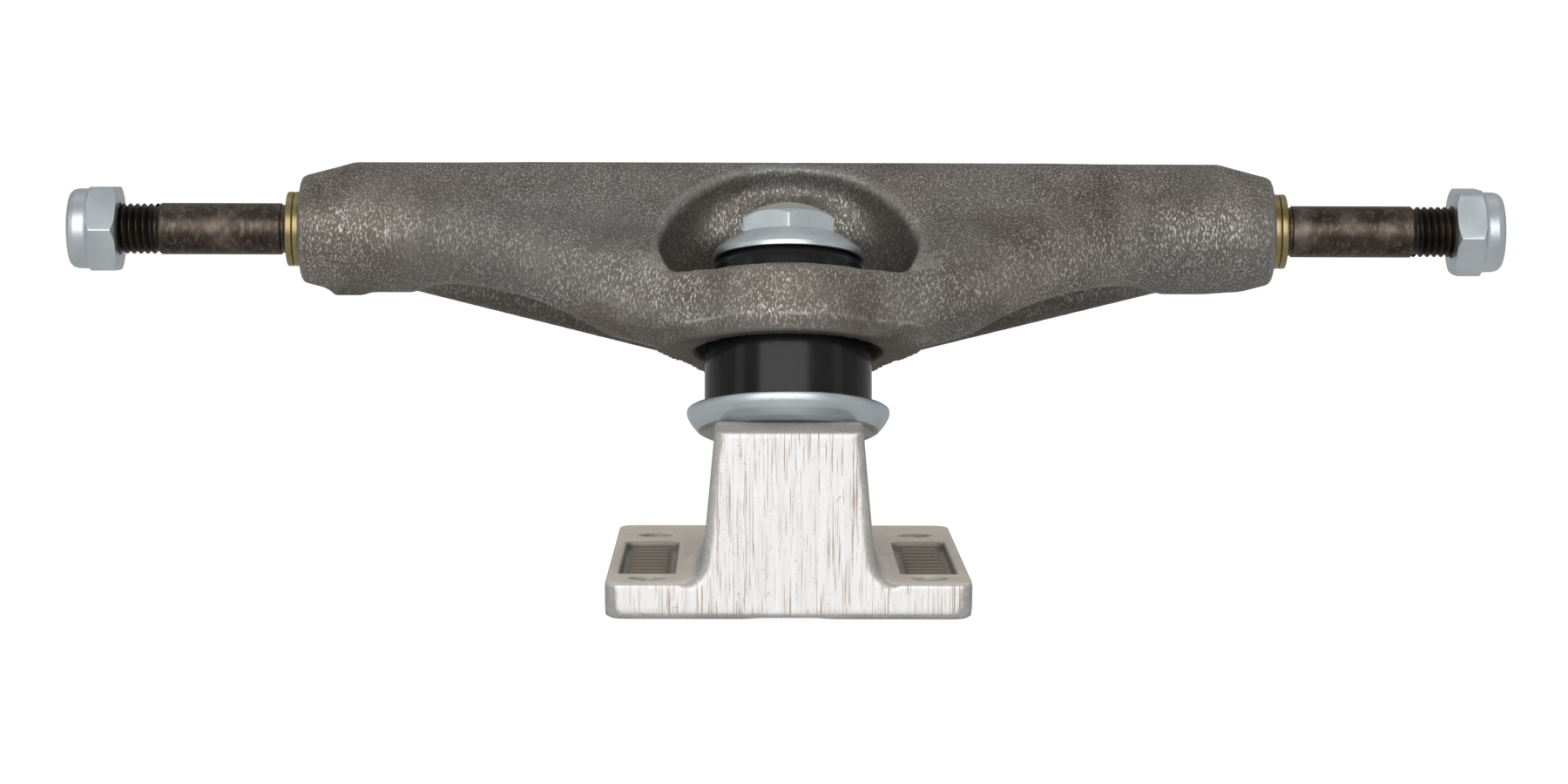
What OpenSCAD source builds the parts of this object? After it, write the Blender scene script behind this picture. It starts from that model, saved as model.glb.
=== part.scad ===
// Skateboard truck: a cast hanger with its axle, sprung on a baseplate by two urethane bushings.
// Origin: middle of the baseplate's underside. X runs along the axle, +Y points to the pivot, +Z is up.
// The kingpin goes in from the top: its head sits in the hanger's pocket, its nut under the plate.

/* [Axle] */
// Diameter of the axle, a bearing's bore less its running fit
axle_d = 7.94; // [7.5:0.02:8.4]
// Length of the axle from end to end
axle_len = 215.9; // [210:0.1:222]
// Length of axle that stands out of the hanger at each side
axle_out = 33.15; // [31:0.05:35]
// Height of the axle above the deck
axle_z = 55; // [54:0.25:58]
// Distance of the axle behind the middle of the plate
axle_y = 4.6; // [4.2:0.1:6]
// Length of thread at each end of the axle
axle_thread_len = 11.3; // [10.6:0.1:13]
// Depth of the axle's and the kingpin's thread
thread_depth = 0.5; // [0.3:0.05:0.6]
// Pitch of the axle's and the kingpin's thread
thread_pitch = 1.0583; // [1:0.0001:1.25]

/* [Axle nuts] */
// Width of an axle nut across its flats
axle_nut_af = 12.7; // [12.4:0.1:14]
// Height of the hex part of an axle nut
axle_nut_hex_h = 4.5; // [4:0.1:5.5]
// Height of the round collar that holds the nylon ring
axle_nut_collar_h = 3.1; // [2.8:0.1:4]
// How far an axle nut stands past the axle's end
axle_nut_proud = 2.45; // [2.3:0.05:2.8]

/* [Speed rings] */
// Outer diameter of a speed ring
speed_ring_d = 11.5; // [10.5:0.1:13]
// Thickness of a speed ring
speed_ring_t = 1.05; // [0.8:0.05:1.3]

/* [Hanger] */
// Radius of the axle housing
housing_r = 9.75; // [9.4:0.05:10.2]
// Height of the housing's crest above the axle
crest_h = 10.35; // [10.1:0.05:10.8]
// Radius of the housing at its end faces
housing_end_r = 8.3; // [8:0.1:9]
// Length of the taper at each end of the housing
housing_taper = 10.5; // [8:0.5:14]
// Outer radius of the ring round the bushings
ring_r = 16.8; // [16.2:0.1:18]
// Thickness of the web between the two bushings
ring_web = 4; // [3.5:0.1:5]
// Radius of the hole that the kingpin passes in the web
ring_bore_r = 7; // [6.6:0.1:8]
// Depth of the seat for the bottom bushing
bottom_seat_depth = 3; // [2:0.1:4]
// Depth of the seat for the top bushing
top_seat_depth = 3.2; // [2:0.1:3.6]
// Radius of the rounded pocket over the kingpin's head, at its mouth
pocket_r = 20; // [19:0.1:20.4]
// Height of the rounded pocket above the ring
pocket_h = 24; // [22:0.25:25]
// Radius of the way that a socket wrench takes to the kingpin's head
socket_r = 10.2; // [9.8:0.1:10.4]
// Radius of the pivot's round tip
pivot_tip_r = 5.6; // [5:0.1:6]

/* [Kingpin] */
// Lean of the kingpin towards the pivot, in degrees
kingpin_tilt = 15.5; // [14:0.25:17]
// Distance from the plate's front edge to the kingpin's axis, measured on the deck
kingpin_inset = 8.5; // [8.2:0.1:9]
// Diameter of the kingpin
kingpin_d = 9.52; // [9:0.02:9.8]
// Width of the kingpin's head across its flats
head_af = 13.7; // [13:0.1:14.6]
// Height of the kingpin's head
head_h = 5.2; // [4.8:0.1:5.8]
// Width of the kingpin's nut across its flats
kingpin_nut_af = 14.28; // [13.8:0.02:14.6]
// Height of the kingpin's nut
kingpin_nut_h = 8.6; // [8:0.1:9.5]

/* [Bushings and washers] */
// Radius of the bottom bushing
bottom_bushing_r = 12.4; // [11.6:0.1:12.8]
// Height of the bottom bushing
bottom_bushing_h = 13.9; // [13:0.1:14.6]
// Radius of the top bushing at its foot
top_bushing_r = 11.4; // [10.6:0.1:11.6]
// Height of the top bushing
top_bushing_h = 9; // [8.4:0.1:10]
// Radius of the bottom cup washer
bottom_washer_r = 15.1; // [14.8:0.1:15.4]
// Height of the bottom cup washer
bottom_washer_h = 3.8; // [3.4:0.1:4.2]
// Radius of the top cup washer
top_washer_r = 11.35; // [11:0.05:11.6]
// Height of the top cup washer
top_washer_h = 3.5; // [3:0.1:4]
// Thickness of the cup washers' steel
washer_t = 1.5; // [1.2:0.1:1.7]

/* [Baseplate] */
// Width of the plate across the axle's direction
plate_w = 53.6; // [52:0.2:58]
// Length of the plate
plate_len = 74; // [73.6:0.2:78]
// Thickness of the flange
flange_t = 5.5; // [4.5:0.1:6]
// Spacing of the bolt holes across the plate
bolt_dx = 41.3; // [40:0.1:43]
// Spacing of the bolt holes along the plate
bolt_dy = 54; // [52:0.1:55]
// Distance from the plate's front edge to the first row of bolt holes
bolt_inset = 6.2; // [5.6:0.1:7]
// Diameter of a bolt hole
bolt_hole_d = 5.2; // [4.8:0.1:5.6]
// Distance along the kingpin from the deck to the bottom washer's seat
seat_s = 26.7; // [26:0.1:28]
// Width of the pillar at its top
pillar_top_w = 21.8; // [21:0.2:24]
// Width of the pillar where it meets the flange
pillar_foot_w = 25.6; // [24:0.2:27]
// Height of the pivot's centre above the deck
pivot_z = 14; // [13.6:0.1:15]
// Distance from the plate's back edge to the pivot's centre
pivot_inset = 15; // [14.6:0.1:16]
// Outer radius of the pivot cup
pivot_cup_r = 8.4; // [8:0.1:8.6]
// Number of cross ribs in each sunken panel
panel_ribs = 9; // [0:1:12]

/* [Hidden] */
$fn = 96;
hull_fn = 32;
far = 200;

// Clearances of moving fits
running_fit = 0.05;
shank_fit = 0.08;
ring_fit = 0.08;
bushing_fit = 0.25;
face_gap = 0.02;

// Radii of the round stock
axle_r = axle_d / 2;
kingpin_r = kingpin_d / 2;

// Places along the plate
plate_front = -plate_len / 2;
plate_back = plate_len / 2;
kingpin_y = plate_front + kingpin_inset;
pivot_y = plate_back - pivot_inset;
bolt_y = plate_front + bolt_inset + bolt_dy / 2;

// Ends of the pieces along the axle
axle_half = axle_len / 2;
hanger_half = axle_half - axle_out;
nut_h = axle_nut_hex_h + axle_nut_collar_h;
nut_face_x = axle_half + axle_nut_proud - nut_h;
thread_x = axle_half - axle_thread_len;
relief_w = 0.7;
relief_depth = 0.25;
relief_x = hanger_half + 2 * (speed_ring_t + face_gap) + 0.3;

// Stations along the kingpin, from the deck upwards
nut_foot_s = 3;
nut_top_s = nut_foot_s + kingpin_nut_h;
kingpin_end_s = 3.6;
kingpin_thread_len = 14;
web_bottom_s = seat_s + washer_t + bottom_bushing_h;
web_top_s = web_bottom_s + ring_web;
ring_bottom_s = web_bottom_s - bottom_seat_depth;
ring_top_s = web_top_s + top_seat_depth;
top_washer_s = web_top_s + top_bushing_h + washer_t;
head_s = top_washer_s + face_gap;
ring_mid_s = (web_bottom_s + web_top_s) / 2;

// The hanger turns about the line from the pivot to the middle of the ring
ring_mid_y = kingpin_y + ring_mid_s * sin(kingpin_tilt);
ring_mid_z = ring_mid_s * cos(kingpin_tilt);
pivot_reach = norm([ring_mid_y - pivot_y, ring_mid_z - pivot_z]);
pivot_lean = atan2(pivot_y - ring_mid_y, ring_mid_z - pivot_z);

// Seats in the ring
bottom_seat_r = bottom_bushing_r + 1.3;
top_seat_r = top_bushing_r + 1.6;

// Corners and panels of the plate
front_corner_r = 1.6;
back_corner_r = 2.4;
panel_w = 8.2;
panel_len = 41;
panel_depth = 1.5;
boss_mouth = 5;
cup_floor = 8;

// Nylon rings of the lock nuts
insert_h = 2.2;
kingpin_insert_r = 6;
axle_insert_r = 5;

// Places a child on the kingpin's axis, with +Z along it
module on_kingpin(s) {
    translate([0, kingpin_y, 0])
        rotate([-kingpin_tilt, 0, 0])
            translate([0, 0, s])
                children();
}

// Places a child at the pivot's centre, with +Z towards the middle of the ring
module on_pivot(along = 0) {
    translate([0, pivot_y, pivot_z])
        rotate([pivot_lean, 0, 0])
            translate([0, 0, along])
                children();
}

// Places a child on the axle, with +Z along +X
module on_axle(x = 0) {
    translate([x, axle_y, axle_z])
        rotate([0, 90, 0])
            children();
}

// Places a child at one end of the axle, side -1 or 1, with +Z pointing outwards
module at_axle_end(side, x) {
    translate([side * x, axle_y, axle_z])
        rotate([0, side * 90, 0])
            children();
}

module tube(r_out, r_in, h) {
    difference() {
        cylinder(r = r_out, h = h);
        translate([0, 0, -1])
            cylinder(r = r_in, h = h + 2);
    }
}

// Hexagon of a given width across flats, with a corner on +X
module hex_prism(af, h) {
    cylinder(r = af / sqrt(3), h = h, $fn = 6);
}

// Points of a thread's outline, from z0 upwards: [radius, z] pairs
function thread_points(r, z0, length) = [
    for (i = [0 : floor(length / thread_pitch) - 1], step = [0, 1])
        [r - step * thread_depth, z0 + (i + step / 2) * thread_pitch]
];

// Plan of the flange, with its own radius on the front and back corners
module flange_plan() {
    corners = [[plate_front, front_corner_r, 1], [plate_back, back_corner_r, -1]];
    translate([-plate_w / 2, plate_front + front_corner_r])
        square([plate_w, plate_len - front_corner_r - back_corner_r]);
    for (c = corners)
        union() {
            translate([-plate_w / 2 + c[1], c[0] + (c[2] < 0 ? -c[1] : 0)])
                square([plate_w - 2 * c[1], c[1]]);
            for (side = [-1, 1])
                translate([side * (plate_w / 2 - c[1]), c[0] + c[2] * c[1]])
                    circle(r = c[1]);
        }
}

// Front outline of the pillar, with a fillet on each side where it meets the flange
module pillar_front_outline() {
    fillet = 3.6;
    top_z = 40;
    slope = (pillar_foot_w - pillar_top_w) / 2 / (seat_s - flange_t);
    top_half = pillar_foot_w / 2 - slope * (top_z - flange_t);
    polygon([
        [-pillar_foot_w / 2, 0], [pillar_foot_w / 2, 0],
        [pillar_foot_w / 2, flange_t], [top_half, top_z],
        [-top_half, top_z], [-pillar_foot_w / 2, flange_t]
    ]);
    for (side = [-1, 1])
        scale([side, 1])
            translate([pillar_foot_w / 2 - slope * fillet, flange_t])
                difference() {
                    square(fillet);
                    translate([fillet, fillet])
                        circle(r = fillet);
                }
}

// Side outline of the pillar: ground front, broken top edge, sloping seat and a back that runs down
module pillar_side_outline() {
    edge_run = 5.5;
    edge_drop = 2.6;
    back_run = 11.5;
    foot_y = -6;
    seat_y = kingpin_y + seat_s * sin(kingpin_tilt);
    seat_z = seat_s * cos(kingpin_tilt);
    front_rise = (seat_y - plate_front) * tan(kingpin_tilt);
    polygon([
        [plate_front, 0],
        [plate_front, seat_z + front_rise - edge_drop],
        [plate_front + edge_run, seat_z + front_rise - edge_run * tan(kingpin_tilt)],
        [seat_y + back_run, seat_z - back_run * tan(kingpin_tilt)],
        [foot_y, flange_t + 4],
        [foot_y, 0]
    ]);
}

module pillar() {
    intersection() {
        rotate([90, 0, 0])
            translate([0, 0, -far / 2])
                linear_extrude(far)
                    pillar_front_outline();
        rotate([90, 0, 90])
            translate([0, 0, -far / 2])
                linear_extrude(far)
                    pillar_side_outline();
    }
}

// Boss round the pivot cup, cut off flat at the deck and at the back of the plate
module pivot_boss() {
    boss_r = pivot_cup_r + 2.6;
    back_step = 0.8;
    rib_w = 13;
    rib_rise = 4;
    rib_y = -10;
    intersection() {
        on_pivot(-far / 4)
            cylinder(r = boss_r, h = far / 4 + boss_mouth);
        translate([-plate_w / 2, -far / 2, 0])
            cube([plate_w, far / 2 + plate_back - back_step, far]);
    }
    // rib from the pillar to the boss
    translate([-rib_w / 2, rib_y, 0])
        cube([rib_w, pivot_y - rib_y, flange_t + rib_rise]);
}

// Places a child at the middle of the sunken panel on each side of the flange, between the bolt holes
module at_panels() {
    panel_y = bolt_y - 1.7;
    edge = 1.8;
    for (side = [-1, 1])
        translate([side * (plate_w / 2 - edge - panel_w / 2), panel_y, flange_t])
            children();
}

module panel_cut() {
    translate([-panel_w / 2, -panel_len / 2, -panel_depth])
        cube([panel_w, panel_len, panel_depth + 1]);
}

module panel_rib_row() {
    rib_w = 1.1;
    rib_len = panel_w - 2.2;
    rib_h = panel_depth - 0.6;
    root = 0.1;
    pitch = panel_len / (panel_ribs + 1);
    for (i = [0 : 1 : panel_ribs - 1])
        translate([-rib_len / 2, (i - (panel_ribs - 1) / 2) * pitch - rib_w / 2, -panel_depth - root])
            cube([rib_len, rib_w, rib_h + root]);
}

module baseplate() {
    color("gainsboro") {
        difference() {
            union() {
                linear_extrude(flange_t)
                    flange_plan();
                pillar();
                pivot_boss();
            }
            for (sx = [-1, 1], sy = [-1, 1])
                translate([sx * bolt_dx / 2, bolt_y + sy * bolt_dy / 2, -1])
                    cylinder(d = bolt_hole_d, h = flange_t + 2);
            on_kingpin(-10)
                cylinder(r = kingpin_r + shank_fit, h = 60);
            on_kingpin(nut_top_s - 30)
                hex_prism(kingpin_nut_af + 2 * running_fit, 30);
            on_pivot(-cup_floor)
                cylinder(r = pivot_cup_r, h = 40);
            at_panels()
                panel_cut();
        }
        at_panels()
            panel_rib_row();
    }
}

// Urethane cup that the pivot's tip turns in, with a lip on the boss's mouth
module pivot_cup() {
    lip_t = 1.6;
    lip_w = 1.2;
    tip = pivot_tip_r + running_fit;
    color("dimgray")
        on_pivot()
            difference() {
                union() {
                    translate([0, 0, -cup_floor])
                        cylinder(r = pivot_cup_r, h = cup_floor + boss_mouth);
                    translate([0, 0, boss_mouth])
                        cylinder(r = pivot_cup_r + lip_w, h = lip_t);
                }
                sphere(r = tip);
                cylinder(r = tip, h = 20);
            }
}

// Lock nut in the hex pocket under the plate, with a recess for its nylon ring
module kingpin_nut() {
    color("silver")
        on_kingpin(nut_foot_s)
            difference() {
                hex_prism(kingpin_nut_af, kingpin_nut_h);
                translate([0, 0, -1])
                    cylinder(r = kingpin_r + running_fit, h = kingpin_nut_h + 2);
                translate([0, 0, -1])
                    cylinder(r = kingpin_insert_r, h = insert_h + 1);
            }
}

module kingpin_nut_insert() {
    color("white")
        on_kingpin(nut_foot_s)
            tube(kingpin_insert_r, kingpin_r + running_fit, insert_h);
}

// Kingpin: shank with its thread at the bottom, and a low hex head with a domed crown
module kingpin() {
    corner_r = head_af / sqrt(3) + 0.1;
    face_h = head_h - 2.3;
    crown_r = head_af / 2 - 0.2;
    crown_h = 2.2;
    dome_r = (crown_r * crown_r + crown_h * crown_h) / (2 * crown_h);
    dome_half = asin(crown_r / dome_r);
    steps = 6;
    color("silver")
        on_kingpin(0) {
            rotate_extrude()
                polygon(concat(
                    [[0, kingpin_end_s], [kingpin_r - thread_depth, kingpin_end_s]],
                    thread_points(kingpin_r, kingpin_end_s + thread_pitch / 2, kingpin_thread_len),
                    [[kingpin_r, kingpin_end_s + kingpin_thread_len + 1], [kingpin_r, head_s], [0, head_s]]
                ));
            translate([0, 0, head_s])
                intersection() {
                    rotate([0, 0, 30])
                        hex_prism(head_af, head_h);
                    rotate_extrude()
                        polygon(concat(
                            [[0, 0], [corner_r, 0], [corner_r, face_h - 0.9], [head_af / 2, face_h]],
                            [
                                for (i = [steps : -1 : 0], a = [dome_half * i / steps])
                                    [dome_r * sin(a), head_h - dome_r * (1 - cos(a))]
                            ]
                        ));
                }
        }
}

// Cup washer: flat floor, flared wall and a rounded rim, opening along +Z
module cup_washer(floor_r, rim_r, h, bore_r, rim_t, rim_edge) {
    lip = 1.3;
    rotate_extrude()
        polygon([
            [bore_r, 0], [floor_r, 0], [rim_r - 0.25, h - lip], [rim_r, h - lip + 0.4],
            [rim_r, h - rim_edge], [rim_r - rim_edge, h], [rim_r - rim_t, h],
            [floor_r - 0.5, washer_t], [bore_r, washer_t]
        ]);
}

module bottom_washer() {
    floor_r = bottom_washer_r - 2.2;
    color("lightsteelblue")
        on_kingpin(seat_s)
            cup_washer(floor_r, bottom_washer_r, bottom_washer_h, kingpin_r + shank_fit, 1.1, 0.35);
}

module top_washer() {
    floor_r = top_washer_r - 3.2;
    color("lightsteelblue")
        on_kingpin(top_washer_s)
            mirror([0, 0, 1])
                cup_washer(floor_r, top_washer_r, top_washer_h, kingpin_r + shank_fit, 0.55, 0.1);
}

// Bushings: turned barrels, each broken at its edges so that it seats inside its washer
module bottom_bushing() {
    foot_r = bottom_washer_r - 2.9;
    edge = 1;
    color("black")
        on_kingpin(seat_s + washer_t)
            rotate_extrude()
                polygon([
                    [kingpin_r + bushing_fit, 0], [foot_r, 0],
                    [bottom_bushing_r, edge + 1], [bottom_bushing_r, bottom_bushing_h - edge],
                    [bottom_bushing_r - edge, bottom_bushing_h], [kingpin_r + bushing_fit, bottom_bushing_h]
                ]);
}

module top_bushing() {
    top_r = top_washer_r - 3.9;
    shoulder_r = top_washer_r - 0.75;
    edge = 1;
    color("black")
        on_kingpin(web_top_s)
            rotate_extrude()
                polygon([
                    [kingpin_r + bushing_fit, 0], [top_bushing_r - edge, 0], [top_bushing_r, edge],
                    [top_bushing_r, top_seat_depth], [shoulder_r, top_bushing_h - top_washer_h + washer_t],
                    [top_r, top_bushing_h], [kingpin_r + bushing_fit, top_bushing_h]
                ]);
}

// Axle housing: a turned body that tapers to its end faces, with a crest along its top
module housing() {
    edge = 0.5;
    shoulder_len = 4.6;
    shoulder_r = housing_r - 0.4;
    crest_r = 7;
    crest_end_r = crest_r - 1.25;
    crest_half = hanger_half - 8.2;
    crest_taper = 4.4;
    translate([0, 0, crest_h - crest_r])
        on_axle()
            rotate_extrude()
                polygon([
                    [0, -crest_half - crest_taper], [crest_end_r, -crest_half - crest_taper],
                    [crest_r, -crest_half], [crest_r, crest_half],
                    [crest_end_r, crest_half + crest_taper], [0, crest_half + crest_taper]
                ]);
    on_axle()
        rotate_extrude()
            polygon([
                [0, -hanger_half], [housing_end_r - edge, -hanger_half],
                [housing_end_r, edge - hanger_half], [shoulder_r, shoulder_len - hanger_half],
                [housing_r, housing_taper - hanger_half], [housing_r, hanger_half - housing_taper],
                [shoulder_r, hanger_half - shoulder_len], [housing_end_r, hanger_half - edge],
                [housing_end_r - edge, hanger_half], [0, hanger_half]
            ]);
}

// Sloping hood on one side, from the top of the housing down to the side of the ring
module hood(side) {
    hood_r = 7;
    forward = 2;
    half = hanger_half - 35;
    run_out_r = 4.5;
    run_out_x = hanger_half - 17;
    tip_r = 6;
    tip_x = ring_r - tip_r - 0.6;
    tip_forward = 1;
    tip_h = 4.4;
    hull() {
        translate([0, axle_y - forward, axle_z + crest_h + 0.15 - hood_r])
            rotate([0, side * 90, 0])
                cylinder(r = hood_r, h = half, $fn = hull_fn);
        translate([side * run_out_x, axle_y - 0.5, axle_z + crest_h - 0.1 - run_out_r])
            rotate([0, side * 90, 0])
                cylinder(r = run_out_r, h = 1, $fn = hull_fn);
        on_kingpin(ring_top_s - 0.7 - tip_h)
            translate([side * tip_x, -tip_forward, 0])
                cylinder(r = tip_r, h = tip_h, $fn = hull_fn);
    }
}

// Front arm on one side, from the housing down to the side of the ring, with a keel under its tip
module arm(side) {
    root_r = 8.3;
    root_x = hanger_half - 32;
    root_len = 14;
    tip_r = 12;
    tip_x = ring_r - tip_r;
    tip_forward = 2;
    keel_r = 1.6;
    keel_len = 12;
    keel_back = 10;
    keel_y = kingpin_y + ring_bottom_s * sin(kingpin_tilt) + keel_back;
    keel_z = ring_bottom_s * cos(kingpin_tilt) + keel_r + 0.6;
    hull() {
        translate([side * (ring_r + 1), keel_y, keel_z])
            rotate([90, 0, 0])
                cylinder(r = keel_r, h = keel_len, $fn = hull_fn);
        translate([0, axle_y - 1.5, axle_z - 0.5])
            rotate([0, side * 90, 0])
                translate([0, 0, root_x])
                    cylinder(r = root_r, h = root_len, $fn = hull_fn);
        on_kingpin(ring_bottom_s + 0.3)
            translate([side * tip_x, -tip_forward, 0])
                cylinder(r = tip_r, h = ring_top_s - ring_bottom_s - 2.2, $fn = hull_fn);
    }
}

// Solid neck between the back of the ring and the middle of the housing
module neck() {
    half = 17;
    back = 8;
    spread = 6;
    hull() {
        on_axle(-half)
            cylinder(r = housing_r - 1.2, h = 2 * half, $fn = hull_fn);
        on_kingpin(ring_bottom_s + 1)
            for (side = [-1, 1])
                translate([side * spread, back, 0])
                    cylinder(r = ring_r - back - 0.4, h = ring_top_s - ring_bottom_s - 2, $fn = hull_fn);
    }
}

// Flat web behind the arms, which falls from both ends of the housing towards the pivot stem
module web() {
    web_r = 2.5;
    outer_x = hanger_half - 11.8;
    fall = 0.246 * outer_x;
    web_z = axle_z - housing_r + web_r + 1.45;
    hull() {
        translate([-outer_x, axle_y + web_r, web_z])
            rotate([0, 90, 0])
                cylinder(r = web_r, h = 2 * outer_x, $fn = hull_fn);
        translate([0, axle_y + web_r, web_z - fall])
            sphere(r = web_r, $fn = hull_fn);
    }
}

// Heel under the neck: its flat underside carries the ring's on towards the pivot stem
module heel() {
    side_r = ring_r + 1.8;
    waist_r = bottom_seat_r - 1.2;
    end_r = 8;
    height = 5;
    on_kingpin(ring_bottom_s)
        linear_extrude(height)
            polygon([
                [side_r - 1.2, -6], [side_r, 0], [waist_r, ring_r + 0.4], [end_r, 26],
                [-end_r, 26], [-waist_r, ring_r + 0.4], [-side_r, 0], [1.2 - side_r, -6]
            ]);
}

// Hollow under the housing and the arm on one side, steeper on its outer flank; the web divides it
module arm_hollow(side) {
    inner_r = 42;
    outer_r = 15;
    roof_z = axle_z - 7.95;
    translate([side * (hanger_half - 24.3), far / 2, roof_z])
        rotate([90, 0, 0])
            linear_extrude(far) {
                translate([0, -outer_r])
                    circle(r = outer_r);
                intersection() {
                    translate([0, -inner_r])
                        circle(r = inner_r);
                    translate([-(side + 1) / 2 * far, -far])
                        square(far);
                }
            }
}

// Gate mark left by casting, under the left end of the housing
module gate_mark() {
    mark_len = 5;
    mark_r = 3;
    translate([4.8 - hanger_half, axle_y - 1, axle_z - housing_r + mark_r - 0.45])
        rotate([0, 90, 0])
            cylinder(r = mark_r, h = mark_len);
}

// Pivot stem: round tip, neck and a shoulder that runs up into the ring
module pivot_stem() {
    neck_len = 8;
    shoulder_r = pivot_tip_r + 0.6;
    on_pivot() {
        sphere(r = pivot_tip_r);
        rotate_extrude()
            polygon([
                [0, 0], [pivot_tip_r, 0], [pivot_tip_r, neck_len], [shoulder_r, neck_len + 7],
                [shoulder_r, pivot_reach - ring_r + 2], [0, pivot_reach - ring_r + 2]
            ]);
    }
}

// Ring round the bushings, widest at its parting line
module ring() {
    parting_s = 3.2;
    edge = 0.7;
    height = ring_top_s - ring_bottom_s;
    on_kingpin(ring_bottom_s)
        rotate_extrude()
            polygon([
                [0, 0], [ring_r - 0.5, 0], [ring_r + 0.1, parting_s], [ring_r, height - edge],
                [ring_r - edge, height], [0, height]
            ]);
}

// Rounded pocket over the kingpin's head, which leaves a wall round the axle,
// with a straight way in for a socket wrench
module head_pocket() {
    axle_wall = 2.1;
    steps = 14;
    back_y = axle_y - axle_r;
    difference() {
        on_kingpin(ring_top_s)
            rotate_extrude()
                polygon(concat([[0, 0]], [
                    for (i = [0 : steps])
                        [pocket_r * cos(90 * i / steps), pocket_h * sin(90 * i / steps)]
                ]));
        on_axle(-far / 2)
            cylinder(r = axle_r + axle_wall, h = far);
        translate([-far / 2, back_y, axle_z - far])
            cube([far, far, far]);
    }
    on_kingpin(ring_top_s)
        cylinder(r = socket_r, h = far);
}

module hanger() {
    color("gray")
        difference() {
            union() {
                difference() {
                    union() {
                        housing();
                        for (side = [-1, 1]) {
                            hood(side);
                            arm(side);
                        }
                    }
                    for (side = [-1, 1])
                        arm_hollow(side);
                }
                gate_mark();
                neck();
                ring();
                heel();
                pivot_stem();
                web();
            }
            head_pocket();
            on_kingpin(web_top_s)
                cylinder(r = top_seat_r, h = top_seat_depth + 1);
            on_kingpin(ring_bottom_s - 20)
                cylinder(r = bottom_seat_r, h = bottom_seat_depth + 20);
            on_kingpin(web_bottom_s - 1)
                cylinder(r = ring_bore_r, h = ring_web + 2);
            on_axle(-far / 2)
                cylinder(r = axle_r, h = far);
        }
}

// One half of the axle's outline, from the middle outwards: [radius, distance] pairs
function axle_half_points() = concat(
    [
        [axle_r, relief_x], [axle_r - relief_depth, relief_x + 0.15],
        [axle_r - relief_depth, relief_x + relief_w - 0.15], [axle_r, relief_x + relief_w],
        [axle_r, thread_x]
    ],
    thread_points(axle_r - running_fit / 2, thread_x + thread_pitch / 2, axle_thread_len - thread_pitch),
    [[axle_r - thread_depth, axle_half - 0.4], [axle_r - thread_depth - 0.4, axle_half]]
);

module axle() {
    right = axle_half_points();
    count = len(right);
    left = [for (i = [count - 1 : -1 : 0]) [right[i][0], -right[i][1]]];
    color("saddlebrown")
        on_axle()
            rotate_extrude()
                polygon(concat([[0, -axle_half]], left, right, [[0, axle_half]]));
}

// Speed ring number 0 or 1, counted outwards from the hanger
module speed_ring(side, number) {
    edge = 0.15;
    r_in = axle_r + ring_fit;
    r_out = speed_ring_d / 2;
    color("goldenrod")
        at_axle_end(side, hanger_half + face_gap + number * (speed_ring_t + face_gap))
            rotate_extrude()
                polygon([
                    [r_in, 0], [r_out - edge, 0], [r_out, edge], [r_out, speed_ring_t - edge],
                    [r_out - edge, speed_ring_t], [r_in, speed_ring_t]
                ]);
}

module speed_ring_left_inner() { speed_ring(-1, 0); }
module speed_ring_left_outer() { speed_ring(-1, 1); }
module speed_ring_right_inner() { speed_ring(1, 0); }
module speed_ring_right_outer() { speed_ring(1, 1); }

// Axle lock nut: hex with broken corners, then a round collar turned in over the nylon ring
module axle_nut(side) {
    collar_r = axle_nut_af / 2 - 0.25;
    corner_r = axle_nut_af / sqrt(3);
    color("lightsteelblue")
        at_axle_end(side, nut_face_x)
            difference() {
                union() {
                    intersection() {
                        rotate([0, 0, 30])
                            hex_prism(axle_nut_af, axle_nut_hex_h);
                        rotate_extrude()
                            polygon([
                                [0, 0], [corner_r - 0.9, 0], [corner_r, 0.5],
                                [corner_r, axle_nut_hex_h - 0.6], [collar_r, axle_nut_hex_h],
                                [0, axle_nut_hex_h]
                            ]);
                    }
                    translate([0, 0, axle_nut_hex_h - 0.5])
                        rotate_extrude()
                            polygon([
                                [0, 0], [collar_r, 0], [collar_r, axle_nut_collar_h - 0.7],
                                [collar_r - 0.35, axle_nut_collar_h - 0.1],
                                [collar_r - 0.9, axle_nut_collar_h + 0.5], [0, axle_nut_collar_h + 0.5]
                            ]);
                }
                translate([0, 0, -1])
                    cylinder(r = axle_r + running_fit, h = nut_h + 2);
                translate([0, 0, nut_h - insert_h])
                    cylinder(r = axle_insert_r + running_fit, h = insert_h + 1);
            }
}

module axle_nut_left() { axle_nut(-1); }
module axle_nut_right() { axle_nut(1); }

// Nylon ring of an axle nut, which stands a little below the collar's edge
module axle_nut_insert(side) {
    sunk = 0.25;
    color("white")
        at_axle_end(side, nut_face_x + nut_h - insert_h + face_gap)
            tube(axle_insert_r, axle_r + running_fit, insert_h - sunk);
}

module axle_nut_insert_left() { axle_nut_insert(-1); }
module axle_nut_insert_right() { axle_nut_insert(1); }

baseplate();
pivot_cup();
kingpin_nut();
kingpin_nut_insert();
kingpin();
bottom_washer();
bottom_bushing();
top_bushing();
top_washer();
hanger();
axle();
speed_ring_left_inner();
speed_ring_left_outer();
speed_ring_right_inner();
speed_ring_right_outer();
axle_nut_left();
axle_nut_right();
axle_nut_insert_left();
axle_nut_insert_right();
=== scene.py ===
# %% [markdown]
# # A skateboard truck in cells
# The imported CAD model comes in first, as a frame that nothing here moves. Each later cell makes one
# kind of piece or one finish, rides it on a body of the frame, and says which CAD node it stands for.

# %% Load the frame
import math

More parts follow.
